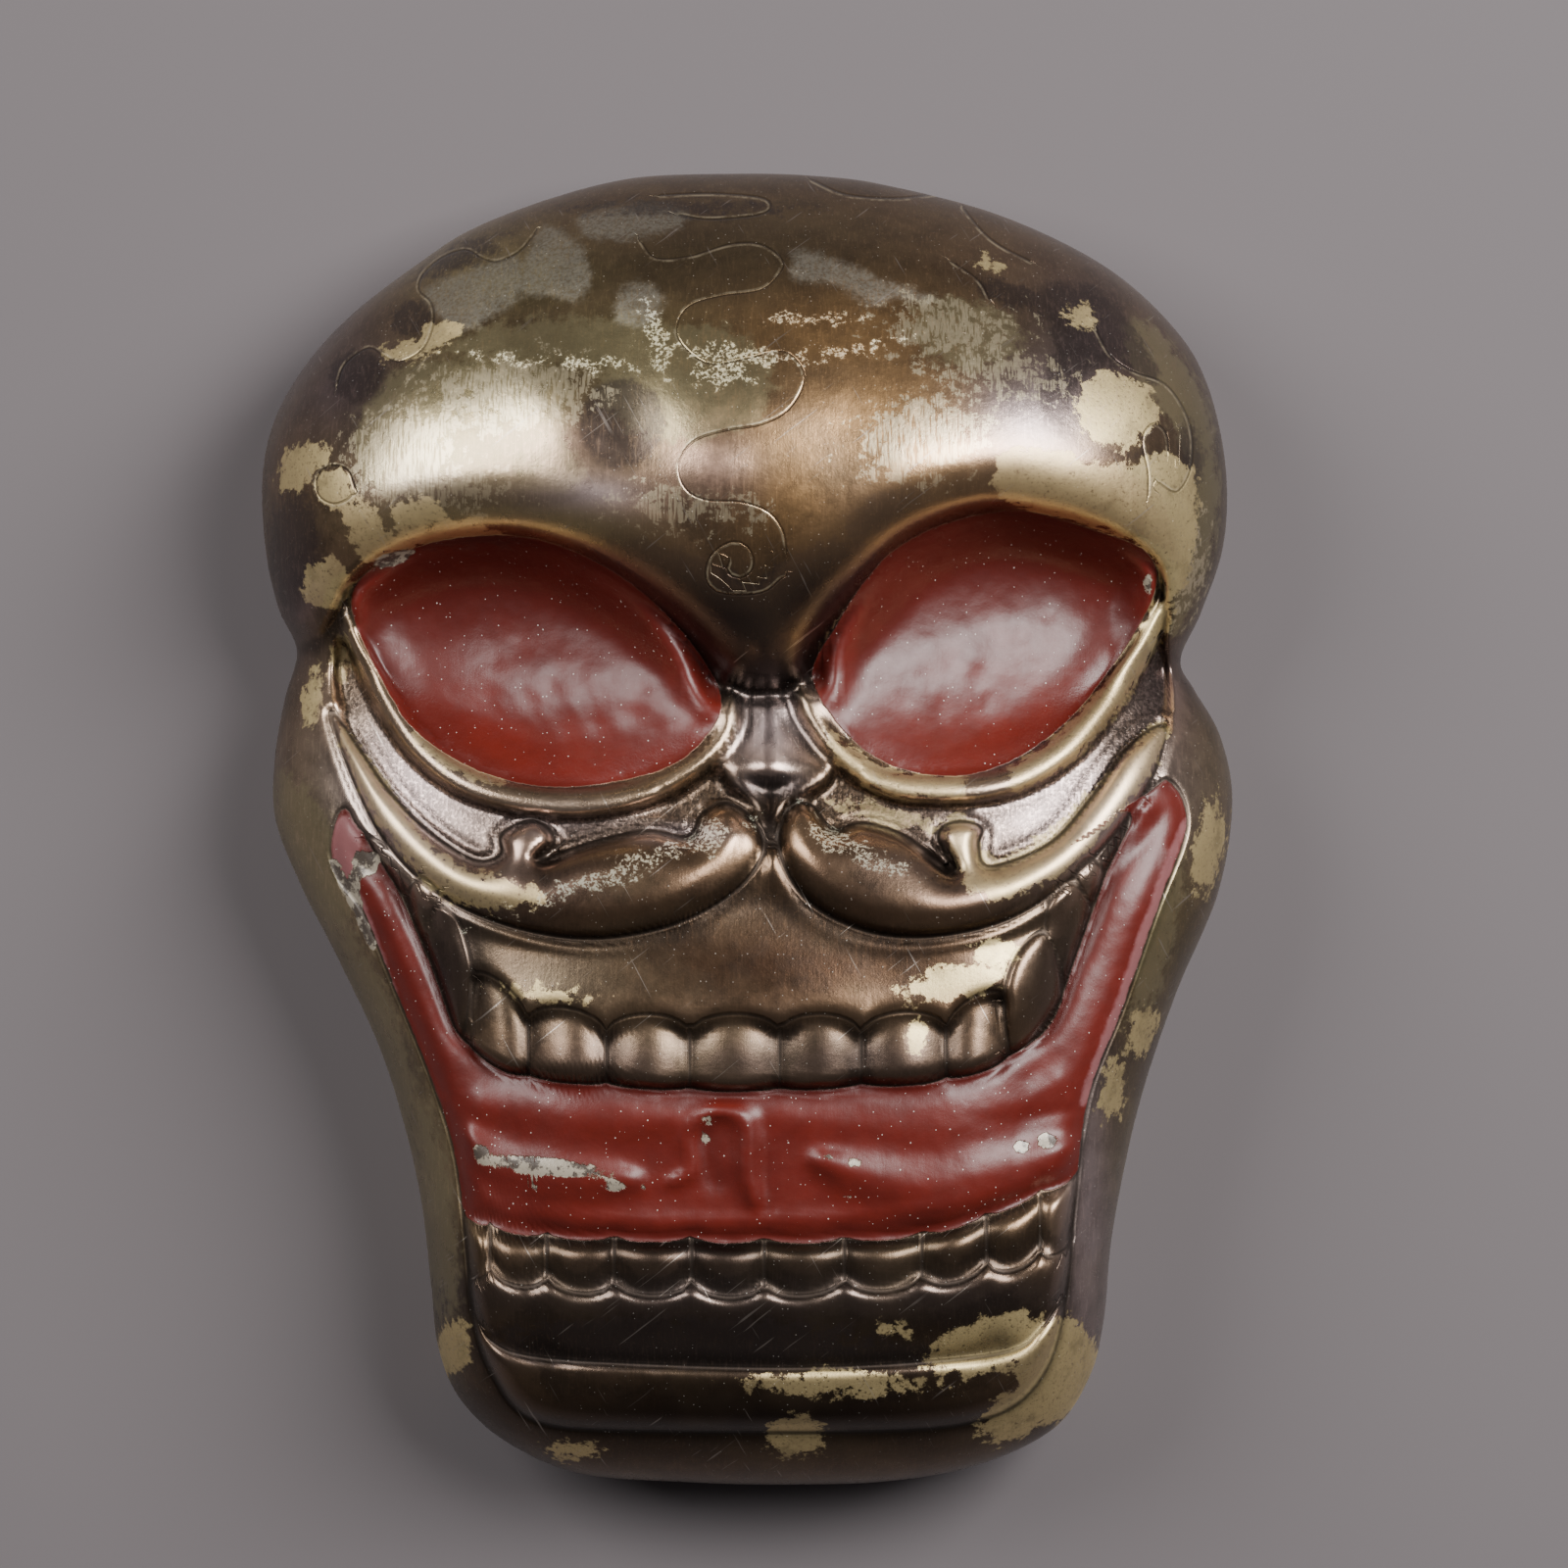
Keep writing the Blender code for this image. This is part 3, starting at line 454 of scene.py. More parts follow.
def placeDrawn(x, y, z, tuck):
    # what stands nearer the viewer is drawn larger than it is
    nearer = np.where(z > sheet["sideHeight"],
                      (drawing["viewDistance"] - z) / (drawing["viewDistance"] - sheet["sideHeight"]), 1.0)
    wide, tall = sheet["width"] / drawing["size"][0], sheet["height"] / drawing["size"][1]
    axisX, axisY = drawing["viewAxis"]
    midX, midY = drawing["centre"]
    realX = wide * (axisX - midX + (x - axisX) * nearer) * (1.0 - tuck) + (low[0] + high[0]) / 2
    realY = -tall * (axisY - midY + (y - axisY) * nearer) * (1.0 - tuck) + (low[1] + high[1]) / 2
    return np.stack([realX, realY, z], axis=-1)


def averaged(z, finer):
    # each kept point is the weighted mean of its finer neighbours, so that slanted edges don't step
    weights = np.array([1.0, 3.0, 4.0, 3.0, 1.0]) / 12.0
    for axis in (0, 1):
        pad = [(2, 2) if axis == k else (0, 0) for k in (0, 1)]
        wide = np.pad(z, pad, mode="edge")
        count = z.shape[axis]
        z = sum(w * np.take(wide, np.arange(k, k + count), axis=axis) for k, w in enumerate(weights))
    return z[::finer, ::finer]


def outerGrid():
    # a square grid rounded to a disc (x = u sqrt(1 - v v / 2)) and stretched to the silhouette
    finer = sheet["finer"]
    u, v = np.meshgrid(np.linspace(-1.0, 1.0, (sheet["columns"] - 1) * finer + 1),
                       np.linspace(-1.0, 1.0, (sheet["rows"] - 1) * finer + 1))
    a, b = u * np.sqrt(1.0 - v ** 2 / 2.0), v * np.sqrt(1.0 - u ** 2 / 2.0)
    out, angle = np.hypot(a, b), np.arctan2(b, a)
    ring = spline(silhouette, closed=True, steps=12) - drawing["centre"]
    ringAngle = np.arctan2(ring[:, 1], ring[:, 0])
    order = np.argsort(ringAngle)
    radius = np.interp(angle, ringAngle[order], np.hypot(ring[:, 0], ring[:, 1])[order], period=2 * pi)
    t = np.linspace(0.0, 1.0, 400)
    drop = 0.8 * sheet["foreheadHeight"] * np.sqrt(1.0 - t ** 3)
    length = np.cumsum(np.hypot(np.diff(t, prepend=0.0) * (sheet["width"] + sheet["height"]) / 4,
                                np.diff(drop, prepend=drop[0])))
    share = np.interp(np.clip(out / sheet["faceShare"], 0.0, 1.0), length / length[-1], t)
    x = drawing["centre"][0] + share * radius * np.cos(angle)
    y = drawing["centre"][1] + share * radius * np.sin(angle)
    z = averaged(heights(x, y, share), finer)
    x, y, out = x[::finer, ::finer], y[::finer, ::finer], out[::finer, ::finer]
    wallDown = np.clip((out - sheet["faceShare"]) / (1.0 - sheet["faceShare"]), 0.0, 1.0)
    z = np.where(wallDown > 0.0, sheet["sideHeight"] * (1.0 - wallDown), z)
    tuck = sheet["rimTuck"] / (sheet["width"] / 2) * wallDown ** 2
    return x, y, placeDrawn(x, y, z, tuck)


def gridNormals(points):
    # the cross product of the two ways along the grid, made one long
    across = np.gradient(points, axis=1)
    down = np.gradient(points, axis=0)
    normal = np.cross(down, across)
    return normal / np.maximum(np.linalg.norm(normal, axis=-1, keepdims=True), 1e-12)


def ringOf(index):
    # the grid's edge as one closed walk
    return np.concatenate([index[0, :-1], index[:-1, -1], index[-1, :0:-1], index[:0:-1, 0]])


def quads(index):
    # four neighbours of the grid for each face
    return np.stack([index[:-1, :-1], index[1:, :-1], index[1:, 1:], index[:-1, 1:]], axis=-1).reshape(-1, 4)


def buildSkin():
    # outer face, an inner face at every second point one wall behind it, and the rim between them
    x, y, points = outerGrid()
    rows, columns = x.shape
    normal = gridNormals(points)
    edge = np.zeros(x.shape, dtype=bool)
    edge[[0, -1], :] = True
    edge[:, [0, -1]] = True
    normal[edge, 2] = 0.0
    # the grid's two ways run together at its corners, so a corner takes the sum of its neighbours' normals
    normal[[0, 0, -1, -1], [0, -1, 0, -1]] = (normal[[0, 0, -1, -1], [1, -2, 1, -2]]
                                              + normal[[1, 1, -2, -2], [0, -1, 0, -1]])
    normal[edge] /= np.linalg.norm(normal[edge], axis=-1, keepdims=True)
    # the inner face keeps below the lowest outer point near it and never shows through a steep edge
    lowest = points[..., 2]
    for axis in (0, 1):
        wide = np.pad(lowest, [(3, 3) if axis == k else (0, 0) for k in (0, 1)], mode="edge")
        lowest = np.min([np.take(wide, np.arange(k, k + x.shape[axis]), axis=axis) for k in range(7)], axis=0)
    under = points - normal * sheet["wall"]
    onFace = ramp(points[..., 2], sheet["sideHeight"] + 0.004, sheet["sideHeight"] + 0.014)
    under[..., 2] += (np.minimum(under[..., 2], lowest - 0.5 * sheet["wall"]) - under[..., 2]) * onFace
    inner = under[::2, ::2]
    outerIndex = np.arange(rows * columns).reshape(rows, columns)
    innerIndex = rows * columns + np.arange(inner.shape[0] * inner.shape[1]).reshape(inner.shape[:2])
    outerRing, innerRing = ringOf(outerIndex), ringOf(innerIndex)
    nextInner = np.roll(innerRing, -1)
    start, middle, end = outerRing[0::2], outerRing[1::2], np.roll(outerRing, -2)[0::2]
    triangles = np.concatenate([
        np.stack([start, middle, innerRing], axis=-1), np.stack([middle, end, nextInner], axis=-1),
        np.stack([middle, nextInner, innerRing], axis=-1)])
    faces = quads(outerIndex).tolist() + quads(innerIndex)[:, ::-1].tolist() + triangles[:, ::-1].tolist()
    mesh = bpy.data.meshes.new("maskSkin")
    mesh.from_pydata(np.vstack([points.reshape(-1, 3), inner.reshape(-1, 3)]), [], faces)
    mesh.shade_smooth()
    return mesh, x, y, points


mesh, x, y, points = buildSkin()
print("skin", len(mesh.polygons), "faces")

# Lines chased into the forehead.
chased = [
    [(673, 199), (725, 197), (775, 201), (787, 209), (776, 219), (724, 224), (692, 219)],
    [(655, 247), (669, 263), (704, 261), (744, 249), (776, 249), (799, 265), (795, 280), (776, 296),
     (736, 302), (704, 312), (691, 332), (697, 352), (724, 371), (760, 366), (799, 358), (819, 375),
     (819, 395), (803, 419), (776, 433), (740, 439), (708, 450), (693, 474), (699, 498), (720, 510),
     (756, 512), (784, 522), (799, 541), (803, 561)],
    [(799, 589), (780, 604), (752, 607), (730, 603), (720, 589), (724, 569), (740, 555), (756, 553),
     (768, 565), (768, 581), (756, 590), (742, 584), (744, 573)],
    [(546, 239), (530, 257), (507, 267), (491, 263), (475, 255), (451, 263), (432, 280), (428, 296),
     (440, 308), (443, 328), (432, 355), (408, 369), (392, 363), (376, 355), (353, 371), (345, 391)],
    [(362, 500), (355, 480), (338, 475), (324, 486), (325, 505), (340, 514), (356, 508), (363, 494)],
    [(828, 183), (863, 198), (913, 202), (960, 197)],
    [(983, 212), (1003, 236), (1022, 251), (1053, 267)],
    [(972, 267), (999, 286), (1010, 305)],
    [(1119, 337), (1135, 364), (1158, 379), (1189, 391), (1209, 418), (1217, 446), (1215, 480),
     (1201, 502), (1182, 492)],
    [(1172, 508), (1172, 481), (1166, 453), (1170, 438), (1180, 432), (1191, 442), (1193, 461)],
]
# Patches of the surface. Five values are an ellipse: x, y, half width, half height, turn in degrees.
# A list of points is a closed outline.
patches = {
    "gold": [
        [(284, 490), (290, 465), (310, 452), (330, 455), (337, 470), (322, 480), (310, 497), (290, 500)],
        (341, 498, 20, 21, 0),
        [(352, 512), (370, 510), (385, 520), (398, 540), (402, 560), (378, 572), (360, 560), (352, 530)],
        [(398, 548), (430, 538), (470, 530), (500, 538), (525, 552), (480, 558), (430, 560), (398, 566)],
        [(388, 356), (405, 352), (425, 345), (440, 330), (470, 328), (472, 340), (450, 355), (420, 368),
         (395, 366)],
        [(1098, 415), (1105, 395), (1120, 380), (1150, 383), (1178, 405), (1182, 430), (1165, 445),
         (1150, 458), (1125, 452), (1105, 438)],
        [(1015, 478), (1020, 462), (1060, 456), (1110, 470), (1150, 474), (1190, 462), (1218, 480),
         (1222, 530), (1215, 580), (1200, 610), (1185, 590), (1172, 566), (1140, 545), (1090, 530),
         (1050, 520), (1015, 500)],
        (425, 523, 26, 15, 0), (335, 598, 24, 26, 0), (347, 672, 10, 21, 0), (320, 710, 9, 26, 10),
        (1102, 322, 15, 13, 0), (1012, 270, 12, 7, 20), (1233, 865, 16, 45, 8), (1165, 1052, 14, 23, 15),
        (1136, 1110, 13, 31, 8), (975, 1003, 50, 16, -10), (1017, 972, 22, 15, 0), (936, 1058, 9, 13, 0),
        (560, 1014, 40, 8, 5), (462, 1375, 18, 26, 0), (860, 1412, 84, 12, 0),
        (1010, 1372, 66, 28, -15), (1078, 1400, 40, 56, 20), (1045, 1438, 50, 24, -30), (585, 1480, 28, 9, 0),
        (812, 1466, 30, 22, 0), (918, 1357, 17, 7, 10), (905, 832, 48, 11, 12)],
    # bright flakes of worn metal, placed where the forehead's highlights fall: partly a painted highlight
    "flakesAndHighlight": [
        (412, 465, 52, 46, 0), (520, 400, 80, 34, -4), (940, 448, 62, 40, -10), (1020, 378, 56, 18, 10),
        (1195, 560, 30, 60, 0), (960, 335, 60, 26, 0), (440, 500, 60, 20, 0), (700, 520, 50, 14, 0)],
    "olive": [
        [(400, 380), (440, 368), (520, 362), (570, 372), (584, 400), (580, 440), (592, 480), (580, 505),
         (520, 500), (470, 500), (410, 505), (370, 490), (365, 430), (385, 395)],
        [(1155, 325), (1185, 340), (1225, 395), (1242, 460), (1242, 540), (1222, 610), (1200, 650),
         (1195, 600), (1215, 520), (1200, 440), (1165, 400), (1150, 350)],
        (318, 880, 34, 92, -20), (385, 1060, 24, 120, -16), (445, 1240, 18, 110, -6), (600, 350, 150, 26, 0),
        (700, 390, 90, 60, 0), (985, 340, 60, 36, 10), (1180, 960, 16, 90, 14)],
    "grey": [
        [(556, 232), (575, 238), (598, 262), (600, 300), (578, 308), (560, 300), (535, 300), (534, 268)],
        [(434, 300), (450, 285), (490, 272), (530, 264), (532, 298), (500, 325), (470, 340), (446, 322)],
        [(592, 222), (640, 208), (700, 212), (690, 232), (650, 243), (600, 242)],
        [(630, 305), (650, 287), (672, 295), (674, 318), (660, 332), (632, 330)],
        [(808, 258), (830, 257), (870, 272), (905, 287), (952, 302), (950, 308), (915, 305), (890, 312),
         (870, 300), (845, 290), (812, 285)]],
    # dark stains, and painted shade: between the eyes under the brow, under the nose, on the chin and in the
    # crease beside the right horn
    "stainAndShade": [
        [(1060, 300), (1090, 290), (1130, 300), (1165, 345), (1184, 390), (1150, 380), (1118, 376),
         (1098, 400), (1090, 430), (1104, 458), (1070, 440), (1060, 400), (1075, 350)],
        (1108, 463, 80, 7, 3), (1214, 470, 13, 40, 0), (422, 326, 21, 19, 0), (365, 384, 28, 28, 0),
        (634, 432, 44, 46, 0),
        (470, 262, 40, 12, -25), (705, 620, 120, 50, 28), (830, 610, 80, 50, -30), (765, 670, 70, 40, 0),
        (300, 560, 26, 60, 0), (690, 1370, 200, 26, 0), (900, 520, 44, 16, -32), (500, 512, 90, 8, -3),
        (1030, 300, 40, 14, 20), (700, 212, 90, 8, 0), (790, 800, 30, 14, 0),
        [(1000, 884), (1072, 866), (1115, 818), (1150, 770), (1188, 744), (1182, 736), (1144, 756),
         (1106, 802), (1062, 848), (1006, 874)]],
    "chip": [
        [(362, 868), (376, 868), (388, 874), (380, 890), (368, 898), (370, 925), (384, 962), (376, 965),
         (360, 930), (344, 898), (336, 880), (344, 878), (354, 896), (360, 885)],
        (491, 1176, 9, 9, 0),
        (556, 1190, 66, 9, 6), (545, 1212, 7, 5, 0), (627, 1210, 11, 6, 0), (656, 1212, 4, 4, 0),
        (721, 1143, 4, 5, 0),
        (720, 1163, 4, 8, 0), (845, 1181, 5, 4, 0), (872, 1186, 8, 4, 0), (850, 1195, 3, 2, 0),
        (975, 1210, 3, 2, 0), (865, 1222, 3, 2, 0), (1043, 1170, 8, 7, 0), (1070, 1164, 11, 8, 0),
        (402, 570, 24, 7, -20), (1172, 596, 4, 8, 0)],
    # painted highlight: lighter pink strips along the outer edges of the red bands
    "paintEdgeHighlight": [
        [(338, 862), (343, 838), (356, 833), (368, 850), (366, 880), (352, 898), (342, 884)],
        [(386, 1010), (372, 960), (352, 905), (358, 898), (372, 920), (392, 975), (412, 1040), (404, 1050)],
        [(1212, 842), (1182, 928), (1147, 1028), (1112, 1120), (1104, 1116), (1138, 1024), (1172, 926),
         (1203, 846)]],
    "crust": [
        (655, 880, 90, 8, -20), (720, 855, 24, 14, -30), (860, 860, 42, 10, 25), (905, 882, 20, 7, 20),
        (672, 345, 9, 26, -20), (760, 362, 60, 7, 3), (905, 346, 9, 4, 0), (740, 380, 26, 12, 0),
        (860, 360, 30, 4, -12), (830, 326, 24, 3, 0), (600, 370, 60, 3, 3)],
}
# Slow changes of the patina's colour, with some painted shade among them: name, colour, then x, y, half
# width, half height of each place.
tones = [
    ("brown", (0.172, 0.114, 0.069), []),
    ("olive", (0.290, 0.235, 0.115), [(500, 420, 110, 70), (520, 275, 110, 44), (650, 350, 90, 50),
                                      (420, 1150, 34, 200)]),
    ("bronze", (0.190, 0.145, 0.072), [(1190, 960, 50, 140), (1150, 1200, 30, 160), (1240, 800, 30, 90)]),
    ("leftSide", (0.350, 0.275, 0.165), [(330, 900, 50, 130), (385, 1060, 40, 120), (440, 1260, 26, 120)]),
    ("rightSide", (0.110, 0.082, 0.052), [(1222, 500, 34, 110)]),
    ("umber", (0.130, 0.096, 0.056), [(640, 440, 74, 66), (760, 250, 160, 60), (600, 520, 90, 26)]),
    ("warm", (0.360, 0.215, 0.098), [(905, 415, 95, 55), (860, 340, 120, 40), (800, 500, 50, 60),
                                     (640, 500, 60, 20), (780, 480, 60, 60)]),
    ("pink", (0.440, 0.290, 0.220), [(540, 455, 60, 26), (730, 478, 36, 30)]),
    ("purple", (0.140, 0.104, 0.100), [(1100, 350, 70, 70), (430, 500, 60, 30), (345, 390, 60, 60),
                                       (1180, 700, 40, 50), (300, 620, 30, 60)]),
    ("sheen", (0.330, 0.265, 0.265), [(1055, 415, 50, 34), (600, 505, 60, 20)]),
    ("browOlive", (0.260, 0.205, 0.110), [(470, 530, 90, 22), (560, 540, 60, 20)]),
    # painted shade: near-black where the surface faces down or lies deep, between the eyes under the brow, in
    # the notch under the nose, on the lower teeth, the gum and the chin
    ("paintedShade", (0.016, 0.011, 0.009), [(720, 640, 110, 50), (780, 680, 80, 50), (850, 620, 80, 50),
                                     (780, 1330, 360, 60), (780, 1440, 360, 50), (780, 1275, 360, 34),
                                     (786, 804, 60, 20), (786, 840, 14, 30)]),
    # dark brown of the scroll bodies and the upper jaw, darkened further as painted shade under the scrolls
    ("jawBrownAndShade", (0.062, 0.034, 0.020), [(620, 912, 150, 36), (900, 912, 130, 36), (780, 985, 290, 50)]),
    ("jawLeft", (0.130, 0.098, 0.064), [(560, 1005, 70, 34), (480, 960, 30, 60)]),
    ("plum", (0.060, 0.043, 0.036), [(780, 1082, 340, 34), (455, 1000, 40, 90), (1075, 1000, 40, 90)]),
    ("gum", (0.064, 0.049, 0.043), [(780, 1322, 360, 22), (780, 1385, 340, 12)]),
    ("bulb", (0.060, 0.037, 0.024), [(620, 905, 110, 34), (900, 900, 90, 36)]),
    ("lilac", (0.330, 0.262, 0.255), [(430, 800, 90, 80), (560, 830, 80, 20), (1080, 810, 110, 60),
                                      (785, 742, 40, 36), (1112, 1240, 20, 160),
                                      (690, 850, 40, 10)]),
]


# Worn metal along raised edges: x, y, half width.
goldBands = [
    [(425, 748, 3), (460, 776, 8), (510, 795, 4)],
    [(846, 752, 2), (868, 775, 6), (905, 797, 8), (975, 800, 8)],
    [(1040, 792, 9), (1085, 764, 13), (1130, 714, 11), (1163, 666, 9), (1187, 620, 6)],
    [(352, 750, 3), (380, 800, 8), (440, 884, 12), (490, 908, 14), (540, 915, 6)],
    [(978, 842, 9), (992, 872, 12), (1016, 896, 17), (1070, 874, 17), (1120, 826, 14), (1160, 782, 10),
     (1186, 744, 6)],
]


def patchDepth(x, y, places):
    # about how many units a point lies inside the nearest of several ellipses and outlines
    depth = np.full(x.shape, -60.0)
    for shape in places:
        if isinstance(shape, list):
            depth = np.maximum(depth, depthInside(x, y, shape, 60.0))
            continue
        midX, midY, halfX, halfY, turn = shape
        c, s = np.cos(radians(turn)), np.sin(radians(turn))
        along, across = (x - midX) * c + (y - midY) * s, (y - midY) * c - (x - midX) * s
        depth = np.maximum(depth, min(halfX, halfY) * (1.0 - np.hypot(along / halfX, across / halfY)))
    return depth


def closest(fields):
    # of several signed distances, the one nearest to nought
    best = fields[0]
    for other in fields[1:]:
        best = np.where(np.abs(other) < np.abs(best), other, best)
    return best


def toothSide(x, gaps):
    # distance to the nearest gap between teeth, with its sign changing from tooth to tooth
    edge = np.array([g[0] for g in gaps], dtype=float)
    place = np.interp(x, edge, np.arange(len(edge)))
    tooth = np.minimum(np.floor(place).astype(int), len(edge) - 2)
    reach = np.minimum(place - tooth, tooth + 1 - place) * (edge[tooth + 1] - edge[tooth])
    return reach * (1 - 2 * (tooth % 2))


def surfaceFields(x, y, points):
    # each field is a signed distance in drawing units, or a share from 0 to 1 where its name ends in Near,
    # and the tone is each place's colour laid on by a bell exp(-0.7 (dx^2 + dy^2))
    opening, upper, lower = mouthFields(x, y)
    eye = np.maximum(depthInside(x, y, eyes["leftOutline"]), depthInside(x, y, eyes["rightOutline"]))
    mouthPaint = np.minimum(opening, np.minimum(-upper, -lower))
    out = {"paint": np.maximum(eye - 2.0, mouthPaint - 1.0)}
    for name, places in patches.items():
        out[name] = patchDepth(x, y, places)
    for band in goldBands:
        away, _, width = nearest(x, y, spline(band), 40.0)
        out["gold"] = np.maximum(out["gold"], width + 4.0 - away)
    lines = []
    near = np.full(x.shape, 60.0)
    for line in chased:
        away, side, _ = nearest(x, y, spline(line), 60.0)
        lines.append(away * side)
        near = np.minimum(near, away)
    out["chase"] = closest(lines)
    out["chaseNear"] = 1.0 - ramp(near, 8.0, 14.0)
    scrolls = [depthInside(x, y, cheeks[key]) for key in ("leftScroll", "rightScroll")]
    fieldsIn = [depthInside(x, y, cheeks[key]) for key in ("leftField", "rightField")]
    _, below, _ = teethAcross(x, y, mouth["upperTeeth"], mouth["arch"], 0.0)
    _, _, above = teethAcross(x, y, mouth["lowerTeeth"], 0.0, mouth["sag"])
    inUpper, inLower = upper > -2.0, lower > -2.0
    arches = np.where(inUpper, below, np.where(inLower, above, -60.0))
    chin = np.where(inLower, y - curveAt(mouth["chinLine"], x), -60.0)
    leaves = np.where(inUpper, leafDepth(x, y), -60.0)
    onScroll = np.maximum(*scrolls) > 1.0
    mouthLine = np.where(onScroll, -60.0, opening)
    upperLine = np.where((opening > 0) & ~onScroll, upper, -60.0)
    out["crease"] = closest([*scrolls, mouthLine, upperLine, arches, chin, leaves])
    out["creaseNear"] = 1.0 - ramp(np.abs(out["crease"]), 8.0, 14.0)
    out["tooth"] = np.where(y < 1150.0, toothSide(x, mouth["upperTeeth"]), toothSide(x, mouth["lowerTeeth"]))
    row = np.where(inUpper, ramp(below, -1.0, 4.0), np.where(inLower, ramp(above, -1.0, 4.0), 0.0))
    out["toothNear"] = row * ramp(np.where(y < 1150.0, upper, lower), 0.0, 5.0)
    out["stipple"] = ramp(np.maximum(*fieldsIn), 0.0, 8.0) * ramp(-np.maximum(*scrolls), 0.0, 6.0)
    relief = points[..., 2] - blurred(points[..., 2], 4)
    onBrow = ramp(np.abs(depthInside(x, y, forehead["outline"])), 8.0, 26.0)
    onBrow = onBrow * ramp(points[..., 2], sheet["sideHeight"] + 0.003, sheet["sideHeight"] + 0.010)
    out["crest"], out["hollow"] = np.clip(relief, 0, None) * 1000 * onBrow, np.clip(-relief, 0, None) * 1000
    tone = np.zeros(x.shape + (3,)) + tones[0][1]
    for _, colour, places in tones[1:]:
        weight = np.zeros(x.shape)
        for midX, midY, halfX, halfY in places:
            away = ((x - midX) / halfX) ** 2 + ((y - midY) / halfY) ** 2
            weight = np.maximum(weight, np.exp(-0.7 * away))
        tone += weight[..., None] * (np.array(colour) - tone)
    for side in ("left", "right"):
        away, _, width = nearest(x, y, spline(eyes[side + "Bead"]), 40.0)
        weight = 0.75 * ramp(width + 3.0 - away, 0.0, 6.0)
        tone += weight[..., None] * (np.array(eyes["beadColour"]) - tone)
    return out, tone


def storeFields(mesh, out, tone):
    # the outer face gets its values, the inner face is marked as inside and gets none
    count = len(mesh.vertices)
    for name, values in out.items():
        share = name.endswith("Near") or name in ("crest", "hollow", "stipple")
        full = np.full(count, 0.0 if share else -60.0)
        full[:values.size] = values.ravel()
        mesh.attributes.new(name, "FLOAT", "POINT").data.foreach_set("value", full)
    inside = np.ones(count)
    inside[:tone.shape[0] * tone.shape[1]] = 0.0
    mesh.attributes.new("inside", "FLOAT", "POINT").data.foreach_set("value", inside)
    colour = np.ones((count, 4)) * (*tones[0][1], 1.0)
    colour[:tone.shape[0] * tone.shape[1], :3] = tone.reshape(-1, 3)
    mesh.attributes.new("tone", "FLOAT_COLOR", "POINT").data.foreach_set("color", colour.ravel())


storeFields(mesh, *surfaceFields(x, y, points))
print("surface fields stored")
skin = bpy.data.objects.new("maskSkin", mesh)
bpy.context.scene.collection.objects.link(skin)
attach(skin, "root")
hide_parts("mask")
finish = {
    "gold": (0.570, 0.455, 0.232), "dullGold": (0.400, 0.320, 0.165), "grey": (0.330, 0.320, 0.270),
    # the flake colour is laid both as bright worn metal and as a painted highlight, and the stain colour both
    # as dark stains and as painted shade
    "olive": (0.330, 0.285, 0.160), "flakeAndHighlight": (0.700, 0.600, 0.400), "stainAndShade": (0.060, 0.046, 0.044),
    "dirt": (0.022, 0.017, 0.014), "pale": (0.480, 0.420, 0.370), "shade": (0.040, 0.030, 0.026),
    # wearAndGlintGain makes the lighter colour for wear and also for painted glints
    "bloom": (0.230, 0.165, 0.095), "wearAndGlintGain": (2.3, 2.2, 2.1),
    # the faded pink is a painted highlight on the band edges
    "paint": (0.078, 0.0070, 0.0040), "paintDark": (0.042, 0.0045, 0.0030), "paintEdgeHighlight": (0.170, 0.070, 0.072),
    "primer": (0.23, 0.20, 0.155), "bareMetal": (0.055, 0.044, 0.036), "dust": (0.62, 0.60, 0.55),
    "crust": (0.29, 0.30, 0.23), "back": (0.070, 0.052, 0.034), "backLight": (0.12, 0.085, 0.05),
    "patinaRoughness": 0.21, "metallic": 0.94, "coat": 0.05, "coatRoughness": 0.3, "specular": 0.36,
}
# Noise in the metal: scale per metre, detail, roughness.
textures = {"broad": (24.0, 3.0, 0.55), "blotch": (110.0, 5.0, 0.64), "flaky": (260.0, 6.0, 0.70),
            "grain": (1100.0, 3.0, 0.65), "lumps": (170.0, 1.0, 0.55)}
# How far each patch's edge wanders, and how soft it is, in drawing units.
edges = {"olive": (50.0, 6.0), "grey": (26.0, 6.0), "stainAndShade": (40.0, 5.0), "flakesAndHighlight": (150.0, 3.0),
         "gold": (46.0, 2.0), "crust": (60.0, 2.0), "chip": (12.0, 0.6), "paint": (4.0, 0.8),
         "paintEdgeHighlight": (8.0, 2.5)}
# Heights in millimetres, and what each mask adds to the roughness.
relief = {"blotch": 0.10, "chaseLine": -0.12, "sunk": -0.22, "paint": 0.08, "stipple": 0.012,
          "gold": -0.015, "streaks": 0.014, "paintLumps": 0.24}
grainHeight = 0.030
rougher = {"gold": 0.15, "grey": 0.12, "sunk": 0.25, "inside": 0.2, "dust": 0.3, "paint": 0.10, "teeth": 0.05}


def node(tree, kind, inputs=None, **settings):
    # a node with its settings, and each input linked or set
    made = tree.nodes.new(kind)
    for name, value in settings.items():
        setattr(made, name, value)
    for name, value in (inputs or {}).items():
        if isinstance(value, bpy.types.NodeSocket):
            tree.links.new(value, made.inputs[name])
        else:
            made.inputs[name].default_value = value
    return made


def calc(tree, operation, *values):
    return node(tree, "ShaderNodeMath", dict(enumerate(values)), operation=operation).outputs[0]


def step(tree, value, start, end, least=0.0, most=1.0):
    # smooth step from least at start to most at end
    inputs = {"Value": value, "From Min": start, "From Max": end, "To Min": least, "To Max": most}
    return node(tree, "ShaderNodeMapRange", inputs, interpolation_type="SMOOTHSTEP").outputs["Result"]


